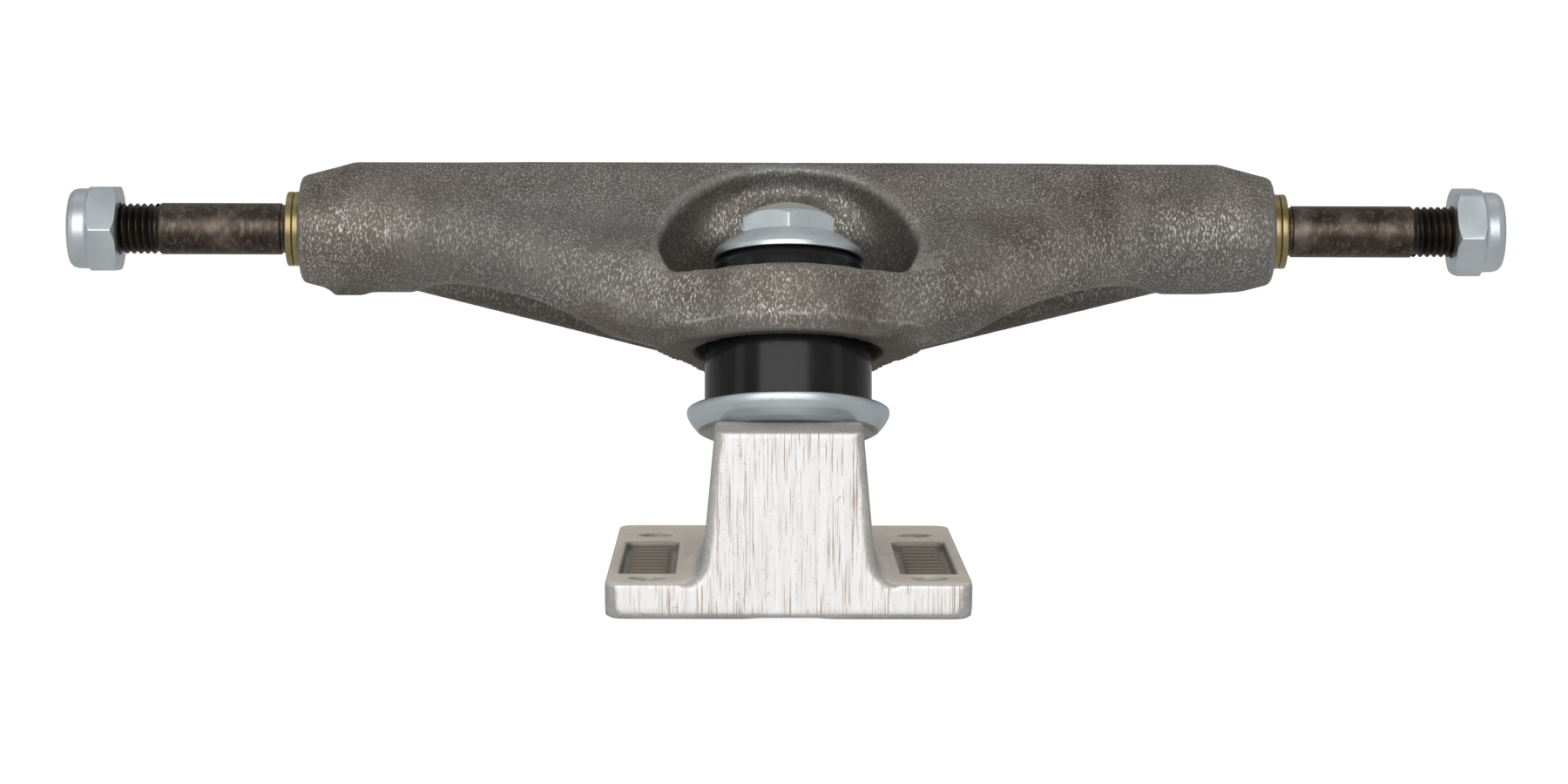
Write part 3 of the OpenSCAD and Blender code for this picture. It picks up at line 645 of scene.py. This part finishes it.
def restore_edges(bm, surface, share):
    """Brings points that sank below the true surface back to it, by a share of the way."""
    for v in bm.verts:
        place, normal, _, _ = surface.find_nearest(v.co)
        if (v.co - place).dot(normal) < 0:
            v.co = v.co.lerp(place, share)
    smooth(bm, bm.verts[:])


def graded(value, start, end):
    """0 up to start and 1 from end on, in even steps between, for values that rise or fall."""
    return min(1.0, max(0.0, (value - start) / (end - start)))


# %% [markdown]
# A finished piece gets its material, stands for its CAD node and rides on a body, or on two by a blend.

# %% Handing a piece over
def dress(piece, node, body, material):
    """Gives a piece its finish, and puts it in the place of its CAD node on a body."""
    piece.data.materials.clear()
    piece.data.materials.append(material)
    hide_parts(node)
    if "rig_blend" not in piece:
        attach(piece, body)
    print("%s: %d faces" % (piece.name, len(piece.data.polygons)))


def settle(bm, piece, node, body, material):
    """Puts a worked bmesh back into its piece, and the piece in the place of its CAD node."""
    bm.to_mesh(piece.data)
    bm.free()
    piece.data.shade_smooth()
    dress(piece, node, body, material)


# %% [markdown]
# The hanger's edges are nearly as crisp as the solid's, except round the pocket over the kingpin. There
# the casting rolls over into the pocket, so the points of that rim get many more rounds of smoothing, and
# they count in full for wear and painted highlight. The webs behind the arms are marked for painted shade.
# The underside of the ring is pressed flat last, as a cutter would leave it. Heights near the ring are
# measured along the kingpin.

# %% Places on the hanger
KINGPIN = Matrix.Translation((0, -28.5 * MM, 0)) @ Matrix.Rotation(-KINGPIN_TILT, 4, "X")
from_kingpin = KINGPIN.inverted()
RING_UNDERSIDE, CUT_DEPTH = 39.1 * MM, 0.7 * MM
RIM_LOW, RIM_REACH, RIM_BACK, RIM_BULGE = 50.2 * MM, 24 * MM, 3 * MM, 2e-5
WEB_FRONT, WEB_TOP = -6 * MM, 46.5 * MM
PROUD_FROM, PROUD_FULL = 1.5e-5, 6.5e-5
print("kingpin: leans back by %.1f degrees" % math.degrees(KINGPIN_TILT))


def on_pocket_rim(vert):
    """True for points of an edge that lie round the kingpin's axis and above the ring."""
    local = from_kingpin @ vert.co
    near = local.z > RIM_LOW and local.xy.length < RIM_REACH and vert.co.y < RIM_BACK
    return near and bulge(vert) > RIM_BULGE


def in_webs(vert):
    """True behind the arms and below the axle's housing, where two forms meet at a narrow angle."""
    return vert.co.y > WEB_FRONT and vert.co.z < WEB_TOP


def mark_proud(bm, rim_wear_and_highlight):
    """How proud each point stands, noted as wear and painted highlight; given points count in full."""
    bm.normal_update()
    layer = bm.verts.layers.float.new("proud")
    for v in bm.verts:
        v[layer] = 1.0 if v.index in rim_wear_and_highlight else graded(bulge(v), PROUD_FROM, PROUD_FULL)


def mark_web_shade(bm):
    """Marks the webs behind the arms, where they face forwards under the housing, for painted shade."""
    layer = bm.verts.layers.float.new("web_shade")
    for v in bm.verts:
        behind = graded(v.co.y, -1.5 * MM, 0.5 * MM)
        facing = graded(-v.normal.y, 0.1, 0.4)
        under = graded(v.co.z, WEB_TOP, WEB_TOP - 2 * MM)
        v[layer] = behind * facing * under


def machine_flat(bm):
    """Presses points that face down the kingpin, near the ring's underside, into one plane and marks them."""
    down = -KINGPIN.to_3x3().col[2]
    layer = bm.verts.layers.float.new("machined")
    for v in bm.verts:
        local = from_kingpin @ v.co
        if abs(local.z - RING_UNDERSIDE) < CUT_DEPTH and v.normal.dot(down) > 0.75:
            v.co = KINGPIN @ Vector((local.x, local.y, RING_UNDERSIDE))
            v[layer] = 1.0


# %% Hanger
hanger, surface = even_skin("hanger", "hanger_casting", voxel=0.6 * MM)
bm = bmesh.new()
bm.from_mesh(hanger.data)
round_hollows(bm, rounds=40, tight_rounds=8, is_tight=in_webs)
restore_edges(bm, surface, share=0.8)
bm.normal_update()
rim = [v for v in bm.verts if on_pocket_rim(v)]
smooth(bm, with_neighbours(rim, rings=4), rounds=16)
bm.verts.index_update()
mark_proud(bm, rim_wear_and_highlight={v.index for v in with_neighbours(rim, rings=1)})
mark_web_shade(bm)
machine_flat(bm)
settle(bm, hanger, "hanger", "hanger_body", cast_hanger)

# %% [markdown]
# The baseplate is made the same way. The border of its front is rolled over as the casting left it, but
# less along the tops of the flange and the pillar. The front is then pressed flat again, because it is
# ground after casting. Attributes mark the ground front, the level faces for the satin with painted top
# light, and the sunken panels and bolt holes for painted shade.

# %% Places on the baseplate
FLANGE_TOP, PILLAR_TOP, PILLAR_FOOT = 5.5 * MM, 27.4 * MM, 14.5 * MM
front_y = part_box("baseplate")[0].y
side_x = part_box("baseplate")[1].x
BORDER_DEPTH, BORDER_BULGE = 3 * MM, 3e-6
PANEL_INNER, PANEL_OUTER = 15 * MM, side_x - 1 * MM
PANEL_FRONT, PANEL_BACK = front_y + 8 * MM, 20 * MM
BOLT_ACROSS, BOLT_ALONG, BOLT_MIDDLE, BOLT_REACH = 41.3, 54.0, -3.8, 3.1 * MM
BOLTS = [Vector((x * BOLT_ACROSS / 2, BOLT_MIDDLE + y * BOLT_ALONG / 2)) * MM
         for x in (-1, 1) for y in (-1, 1)]
print("baseplate: front at y %.1f mm, sides at x %.1f mm" % (front_y / MM, side_x / MM))


def in_flange(vert):
    """True in the flange, whose panels and holes are too small for large fillets."""
    return vert.co.z < FLANGE_TOP + 0.5 * MM


def on_front_border(vert):
    """True for points of the edge round the front."""
    return vert.co.y < front_y + BORDER_DEPTH and bulge(vert) > BORDER_BULGE


def is_crisp(vert):
    """True along the flange's top edge and the pillar's top edge, which are rolled over less."""
    on_flange = abs(vert.co.z - FLANGE_TOP) < 2.2 * MM and abs(vert.co.x) > PILLAR_FOOT
    return on_flange or vert.co.z > PILLAR_TOP - 1.2 * MM


def in_panel(vert):
    """True over the two sunken panels in the flange."""
    inside = PANEL_INNER < abs(vert.co.x) < PANEL_OUTER and PANEL_FRONT < vert.co.y < PANEL_BACK
    return inside and vert.normal.z > -0.5


def in_bolt_hole(vert):
    """True on the wall of a bolt hole."""
    return vert.normal.z < 0.7 and any((vert.co.xy - bolt).length < BOLT_REACH for bolt in BOLTS)


def mark_baseplate(bm):
    """Marks level faces (painted top light), recesses (painted shade) and the ground front, and flattens it."""
    ground = bm.verts.layers.float.new("ground")
    level = bm.verts.layers.float.new("level")
    sunk = bm.verts.layers.float.new("sunk")
    for v in bm.verts:
        if v.co.z < FLANGE_TOP + 2.5 * MM:
            v[level] = graded(v.normal.z, 0.6, 0.9)
        if in_panel(v):
            v[sunk] = graded(v.co.z, FLANGE_TOP - 0.3 * MM, FLANGE_TOP - 0.8 * MM)
        if in_bolt_hole(v):
            v[sunk] = 0.75 * graded(v.co.z, FLANGE_TOP - 0.5 * MM, FLANGE_TOP - 2.0 * MM)
        if v.normal.y < -0.8:
            v[ground] = graded(v.co.y, front_y + 0.16 * MM, front_y + 0.08 * MM)
        if v[ground] == 1.0:
            v.co.y = front_y


# %% Baseplate
baseplate, surface = even_skin("baseplate", "baseplate_casting", voxel=0.41 * MM)
bm = bmesh.new()
bm.from_mesh(baseplate.data)
round_hollows(bm, rounds=10, tight_rounds=2, is_tight=in_flange)
restore_edges(bm, surface, share=0.6)
bm.normal_update()
border = [v for v in bm.verts if on_front_border(v)]
smooth(bm, with_neighbours(border, rings=2), rounds=5)
soft_border = [v for v in border if not is_crisp(v)]
smooth(bm, with_neighbours(soft_border, rings=4), rounds=26)
bm.normal_update()
mark_baseplate(bm)
settle(bm, baseplate, "baseplate", "base", cast_base)

# %% [markdown]
# ## Turned pieces
# Washers, bushings, rings and the axle are turned shapes. A lathe outline is drawn as a few points, its
# corners are rounded by a bevel on the points, and a full spin round the axis makes the surface. Outlines
# and places along an axis are in millimetres.

# %% Helpers for turned pieces
axle_low, axle_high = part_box("axle")
axle_at = (axle_low + axle_high) / 2
print("axle: middle at y %.1f mm, z %.1f mm" % (axle_at.y / MM, axle_at.z / MM))


def up_kingpin(s):
    """A place s millimetres up the kingpin's axis, with +Z along it."""
    return KINGPIN @ Matrix.Translation((0, 0, s * MM))


def out_axle(side, x):
    """A place x millimetres out along the axle, with +Z pointing outwards."""
    at = Matrix.Translation((side * x * MM, axle_at.y, axle_at.z))
    return at @ Matrix.Rotation(side * math.pi / 2, 4, "Y")


def spin_outline(bm, outline, rounding, steps):
    """Spins a closed outline of (radius, height) points, in millimetres, round Z."""
    points = [bm.verts.new((r * MM, 0, z * MM)) for r, z in outline]
    for first, second in zip(points, points[1:] + points[:1]):
        bm.edges.new((first, second))
    corners = [v for v in points if v.co.x > TINY]
    bevel(bm, corners, rounding * MM, segments=3, affect="VERTICES", clamp=True)
    on_axis = [e for e in bm.edges if all(v.co.x < TINY for v in e.verts)]
    bmesh.ops.delete(bm, geom=on_axis, context="EDGES")
    bmesh.ops.spin(bm, geom=bm.verts[:] + bm.edges[:], cent=(0, 0, 0), axis=(0, 0, 1), dvec=(0, 0, 0),
                   angle=2 * math.pi, steps=steps, use_merge=True)


def shade(mesh, sharp_from):
    """Smooth shading that keeps edges sharp where faces meet at more than an angle in degrees."""
    mesh.shade_smooth()
    mesh.set_sharp_from_angle(angle=math.radians(sharp_from))


def turned(name, outline, place, rounding, steps=96):
    """A finished piece from an outline that is spun round an axis."""
    bm = bmesh.new()
    spin_outline(bm, outline, rounding, steps)
    bmesh.ops.transform(bm, matrix=place, verts=bm.verts)
    piece = finished(bm, name)
    shade(piece.data, sharp_from=40)
    return piece


# %% [markdown]
# The two cup washers hold the bushings. Each is pressed from sheet steel: a flat floor, a flared wall and
# a rolled rim. The top one is smaller and is turned over.

# %% Cup washers
CUP_BORE, SHEET = 4.84, 1.5
BOTTOM_CUP_AT, TOP_CUP_AT = 26.7, 56.6

bottom_cup = [(CUP_BORE, 0), (12.6, 0), (13.5, 0.45), (14.4, 1.5), (14.95, 2.45), (15.1, 3.0), (15.05, 3.55),
              (14.7, 3.8), (14.15, 3.8), (13.7, 3.3), (12.5, SHEET), (CUP_BORE, SHEET)]
piece = turned("cup_washer_bottom", bottom_cup, up_kingpin(BOTTOM_CUP_AT), rounding=0.12)
dress(piece, "bottom_washer", "base", zinc)

top_cup = [(CUP_BORE, 0), (7.9, 0), (8.6, 0.25), (10.45, 1.65), (11.05, 2.2), (11.22, 2.6), (11.35, 2.7),
           (11.35, 3.42), (11.27, 3.5), (10.85, 3.5), (7.7, SHEET), (CUP_BORE, SHEET)]
turned_over = up_kingpin(TOP_CUP_AT) @ Matrix.Rotation(math.pi, 4, "X")
piece = turned("cup_washer_top", top_cup, turned_over, rounding=0.05)
dress(piece, "top_washer", "top_cup", zinc)

# %% [markdown]
# A bushing is gripped by a washer at one end and by the hanger at the other, so it has to bend as the
# hanger leans. A blend lets one end stay with the base and the other end follow the hanger. The bore opens
# out towards the hanger, so that the bent bushing stays clear of the kingpin.

# %% Bushings
BUSHING_BORE, BOTTOM_OPEN, TOP_OPEN = 5.01, 6.1, 6.0
BUSHING_ROUNDING, BUSHING_STEPS = 0.35, 128
BOTTOM_BUSHING_AT, TOP_BUSHING_AT = BOTTOM_CUP_AT + SHEET, 46.1

bottom_barrel = [(BUSHING_BORE, 0), (12.1, 0), (12.4, 1.4), (12.45, 4.5), (12.45, 9.5), (12.4, 12.6),
                 (11.5, 13.9), (BOTTOM_OPEN, 13.9), (BOTTOM_OPEN, 3.0), (BUSHING_BORE, 1.0)]
bottom_place, top_place = up_kingpin(BOTTOM_BUSHING_AT), up_kingpin(TOP_BUSHING_AT)
bottom = turned("bushing_bottom", bottom_barrel, bottom_place, BUSHING_ROUNDING, BUSHING_STEPS)
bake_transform(bottom, "base", "hanger_body", start=up_kingpin(29.5).translation, end=up_kingpin(41.5).translation)
dress(bottom, "bottom_bushing", "base", urethane)

top_cone = [(10.5, 0), (11.4, 1.0), (11.4, 3.2), (11.15, 5.6), (10.6, 6.95), (7.45, 9.0), (BUSHING_BORE, 9.0),
            (BUSHING_BORE, 8.2), (TOP_OPEN, 6.6), (TOP_OPEN, 0)]
top = turned("bushing_top", top_cone, top_place, BUSHING_ROUNDING, BUSHING_STEPS)
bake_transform(top, "base", "hanger_body", start=up_kingpin(54.5).translation, end=up_kingpin(47.0).translation)
dress(top, "top_bushing", "base", urethane)

# %% [markdown]
# The pivot cup lines the socket at the back of the baseplate, and the hanger's round tip turns in it. Its
# axis points at the middle of the ring, and its bowl is a quarter circle in the outline.

# %% Pivot cup
RING_MIDDLE, BOWL_R = 44.1, 5.65
pivot_at = Vector((0, 22, 14)) * MM
pivot_turn = (up_kingpin(RING_MIDDLE).translation - pivot_at).to_track_quat("Z", "X").to_matrix().to_4x4()
bowl_angles = [math.radians(a) for a in range(90, -1, -9)]
bowl = [(BOWL_R * math.sin(a), -BOWL_R * math.cos(a)) for a in bowl_angles]
cup = [(0, -8.0), (8.4, -8.0), (8.4, 5.0), (9.6, 5.0), (9.6, 6.6), (BOWL_R, 6.6)] + bowl
piece = turned("pivot_bushing", cup, Matrix.Translation(pivot_at) @ pivot_turn, rounding=0.1)
dress(piece, "pivot_cup", "base", urethane)

# %% [markdown]
# Two thin speed rings sit on the axle at each end of the hanger, so that a bearing's inner race turns
# against them and not against the casting.

# %% Speed rings
RING_BORE_R, RING_R, RING_T, RING_GAP = 4.05, 5.75, 1.05, 0.02
SMALL_STEPS = 72
hanger_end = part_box("hanger")[1].x / MM
washer = [(RING_BORE_R, 0), (RING_R, 0), (RING_R, RING_T), (RING_BORE_R, RING_T)]
for side, side_name in ((-1, "left"), (1, "right")):
    for number, place_name in enumerate(("inner", "outer")):
        node = "speed_ring_%s_%s" % (side_name, place_name)
        at = out_axle(side, hanger_end + RING_GAP + number * (RING_T + RING_GAP))
        piece = turned("ring_%s_%s" % (side_name, place_name), washer, at, 0.2, steps=SMALL_STEPS)
        dress(piece, node, node + "_body", yellow_zinc)

# %% [markdown]
# ## Axle with real threads
# A thread is one tooth carried round and along at the same time. Spin does that when it also gets a small
# step along the axis, so one tooth outline becomes a helix. The plain shank is an ordinary turned piece
# with a shallow groove beside the speed rings.

# %% Helpers for threads
PITCH, THREAD_DEPTH, TIP_SETBACK = 1.0583, 0.5, 0.06
THREAD_STEPS = 48


def thread(bm, radius, start, turns):
    """A helix of one tooth, from start upwards along Z, in millimetres."""
    root, tip = radius - THREAD_DEPTH, radius - TIP_SETBACK
    tooth = [(root, 0), (tip, 0.42 * PITCH), (tip, 0.58 * PITCH), (root, PITCH)]
    points = [bm.verts.new((r * MM, 0, (start + z) * MM)) for r, z in tooth]
    edges = [bm.edges.new(pair) for pair in zip(points, points[1:])]
    bmesh.ops.spin(bm, geom=points + edges, cent=(0, 0, 0), axis=(0, 0, 1),
                   dvec=(0, 0, PITCH * MM / THREAD_STEPS), angle=2 * math.pi * turns,
                   steps=THREAD_STEPS * turns, use_merge=False)


def pour(source, target):
    """Adds what one bmesh holds to another, and frees the first."""
    mesh = bpy.data.meshes.new("poured")
    source.to_mesh(mesh)
    source.free()
    target.from_mesh(mesh)
    bpy.data.meshes.remove(mesh)


# %% Axle
AXLE_R, GROOVE_R, CORE_R = 3.97, 3.72, 3.45
GROOVE = 77.24
axle_end = axle_high.x / MM
shank = [(0, 0), (AXLE_R, 0), (AXLE_R, GROOVE), (GROOVE_R, GROOVE + 0.15), (GROOVE_R, GROOVE + 0.55),
         (AXLE_R, GROOVE + 0.7), (AXLE_R, SHANK_END - 0.3), (CORE_R, SHANK_END + 0.3),
         (CORE_R, axle_end - 0.35), (3.1, axle_end), (0, axle_end)]
bm = bmesh.new()
for side in (-1, 1):
    half = bmesh.new()
    spin_outline(half, shank, rounding=0.06, steps=SMALL_STEPS)
    thread(half, radius=3.95, start=SHANK_END - 0.2, turns=9)
    bmesh.ops.transform(half, matrix=out_axle(side, 0), verts=half.verts)
    pour(half, bm)
axle = finished(bm, "axle_rod")
shade(axle.data, sharp_from=35)
dress(axle, "axle", "hanger_body", dark_steel)

# %% [markdown]
# ## Hex pieces
# A nut is a hexagon whose corners are turned off. That is what a boolean makes best: a hexagonal bar and
# a turned blank are intersected, and what both share is the nut. The bar's long edges are bevelled first.

# %% Helpers for hex pieces
HEX_BEVEL, HEX_ROUNDING, HEX_STEPS, HEX_SHARP = 0.16, 0.1, 96, 28
OPEN_OUT = 4


def raise_top(bm, face, height, widen=1.0):
    """Extrudes a face up by a height in millimetres, widens it about Z, and gives the new top face."""
    made = bmesh.ops.extrude_face_region(bm, geom=[face])["geom"]
    bmesh.ops.delete(bm, geom=[face], context="FACES_ONLY")
    corners = points_in(made)
    bmesh.ops.translate(bm, verts=corners, vec=(0, 0, height * MM))
    bmesh.ops.scale(bm, verts=corners, vec=(widen, widen, 1))
    return next(g for g in made if isinstance(g, bmesh.types.BMFace))


def hex_bar(flats, low, high, turn, round_from):
    """A hexagonal bar along Z with softened long edges, which opens out above round_from."""
    bm = bmesh.new()
    at = Matrix.Translation((0, 0, low * MM)) @ Matrix.Rotation(turn, 4, "Z")
    bmesh.ops.create_circle(bm, cap_ends=True, segments=6, radius=flats / math.sqrt(3) * MM, matrix=at)
    floor = bm.faces[:][0]
    bmesh.ops.duplicate(bm, geom=[floor])
    raise_top(bm, floor, round_from - low)
    bmesh.ops.remove_doubles(bm, verts=bm.verts, dist=TINY)
    long_edges = [e for e in bm.edges if abs(e.verts[0].co.z - e.verts[1].co.z) > 10 * TINY]
    bevel(bm, long_edges, HEX_BEVEL * MM, segments=3)
    top = max(bm.faces, key=lambda f: f.calc_center_median().z)
    top = raise_top(bm, top, 0, OPEN_OUT)
    raise_top(bm, top, high - round_from)
    return bm


def cut_hex(name, flats, blank, place, turn=0.0, round_from=None):
    """A turned blank cut to a hexagon, over its whole height or only below a given height."""
    bm = bmesh.new()
    spin_outline(bm, blank, HEX_ROUNDING, HEX_STEPS)
    piece = finished(bm, name)
    low = min(z for r, z in blank) - 1
    high = max(z for r, z in blank) + 1
    shoulder = high if round_from is None else round_from
    bar = finished(hex_bar(flats, low, high + 1, turn, shoulder), name + "_bar")
    cut = piece.modifiers.new("hexagon", "BOOLEAN")
    cut.operation, cut.solver, cut.object = "INTERSECT", "EXACT", bar
    mesh = bpy.data.meshes.new_from_object(piece.evaluated_get(bpy.context.evaluated_depsgraph_get()))
    piece.modifiers.clear()
    piece.data = mesh
    bpy.data.objects.remove(bar)
    mesh.transform(place)
    shade(mesh, HEX_SHARP)
    return piece


# %% [markdown]
# Each axle nut is a hexagon on its inner side and a round collar on its outer side. The collar is rolled
# in over the nylon ring, which grips the thread and keeps the nut from working loose.

# %% Axle nuts and their nylon rings
NUT_FLATS, NUT_BORE_R, COLLAR_FROM, RING_SEAT = 12.7, 4.02, 4.45, 5.4
nut_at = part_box("axle_nut_right")[0].x / MM
nut_blank = [(NUT_BORE_R, 0), (6.5, 0), (7.33, 0.55), (7.33, 3.85), (6.75, 4.3), (6.3, 4.55), (6.2, 4.9),
             (6.15, 6.4), (5.95, 7.05), (5.5, 7.5), (5.15, 7.6), (5.05, 7.45), (5.05, RING_SEAT),
             (NUT_BORE_R, RING_SEAT)]
nylon_ring = [(NUT_BORE_R, RING_SEAT + 0.02), (5.0, RING_SEAT + 0.02), (5.0, 7.37), (4.35, 7.37),
              (NUT_BORE_R, 7.1)]
for side, side_name, turn in ((-1, "left", 0.0), (1, "right", math.radians(6))):
    node = "axle_nut_" + side_name
    piece = cut_hex("lock_nut_" + side_name, NUT_FLATS, nut_blank, out_axle(side, nut_at), turn, COLLAR_FROM)
    dress(piece, node, node + "_body", zinc)
    node = "axle_nut_insert_" + side_name
    piece = turned("nylon_ring_" + side_name, nylon_ring, out_axle(side, nut_at), 0.08, SMALL_STEPS)
    dress(piece, node, node + "_body", nylon)

# %% [markdown]
# The kingpin's head is low, with a domed crown over its six faces. Below it, the shank passes through both
# bushings to a lock nut that is held in a hexagonal recess under the baseplate. The whole head is marked as
# matte, and its crown for a painted yellow-green reflection, for the finish.

# %% Kingpin
HEAD_AT, HEAD_FLATS, HEAD_H, DOME_R, CROWN_FROM = 56.62, 13.7, 5.2, 11.15, 2.93
STEM_LOW, STEM_HIGH, STEM_CORE_R, STEM_R = 3.6, HEAD_AT + 0.3, 4.26, 4.76

dome_angles = [math.radians(a) for a in range(35, -1, -5)]
dome = [(DOME_R * math.sin(a), HEAD_H - DOME_R * (1 - math.cos(a))) for a in dome_angles]
head = [(0, 0), (8.0, 0), (8.0, 2.0), (6.85, 2.9)] + dome
kingpin = cut_hex("kingpin_bolt", HEAD_FLATS, head, up_kingpin(HEAD_AT))
bm = bmesh.new()
bm.from_mesh(kingpin.data)
stem_outline = [(0, STEM_LOW), (4.0, STEM_LOW), (STEM_CORE_R, STEM_LOW + 0.3), (STEM_CORE_R, 17.9),
                (STEM_R, 18.6), (STEM_R, STEM_HIGH), (0, STEM_HIGH)]
stem = bmesh.new()
spin_outline(stem, stem_outline, rounding=0.06, steps=SMALL_STEPS)
thread(stem, radius=4.8, start=4.0, turns=13)
bmesh.ops.transform(stem, matrix=KINGPIN, verts=stem.verts)
pour(stem, bm)
bmesh.ops.recalc_face_normals(bm, faces=bm.faces)
bm.normal_update()
# The crown carries a painted reflection of the dim room and the pocket; the whole head is matte.
crown_reflection = bm.verts.layers.float.new("crown_reflection")
matte = bm.verts.layers.float.new("matte")
for v in bm.verts:
    height = (from_kingpin @ v.co).z / MM - HEAD_AT
    v[crown_reflection] = 1.0 if height > CROWN_FROM else 0.0
    v[matte] = 1.0 if height > -0.1 else 0.0
bm.to_mesh(kingpin.data)
bm.free()
kingpin.data.set_sharp_from_angle(angle=math.radians(HEX_SHARP))
dress(kingpin, "kingpin", "kingpin_bolt", zinc)

# %% [markdown]
# The kingpin's nut is a plain hexagon with a nylon ring let into its lower face.

# %% Kingpin nut and its nylon ring
KING_NUT_AT, KING_NUT_FLATS, KING_NUT_H, KING_BORE_R = 3, 14.28, 8.6, 4.81
INSERT_R, INSERT_SEAT = 6.0, 2.2
kingpin_nut = [(KING_BORE_R, INSERT_SEAT), (INSERT_R, INSERT_SEAT), (INSERT_R, 0), (7.2, 0), (8.24, 0.6),
               (8.24, KING_NUT_H - 0.6), (7.2, KING_NUT_H), (KING_BORE_R, KING_NUT_H)]
piece = cut_hex("lock_nut_kingpin", KING_NUT_FLATS, kingpin_nut, up_kingpin(KING_NUT_AT), math.radians(30))
dress(piece, "kingpin_nut", "base", zinc)
insert = [(KING_BORE_R, 0.05), (INSERT_R - 0.02, 0.05), (INSERT_R - 0.02, INSERT_SEAT - 0.02),
          (KING_BORE_R, INSERT_SEAT - 0.02)]
piece = turned("nylon_ring_kingpin", insert, up_kingpin(KING_NUT_AT), 0.1, SMALL_STEPS)
dress(piece, "kingpin_nut_insert", "base", nylon)
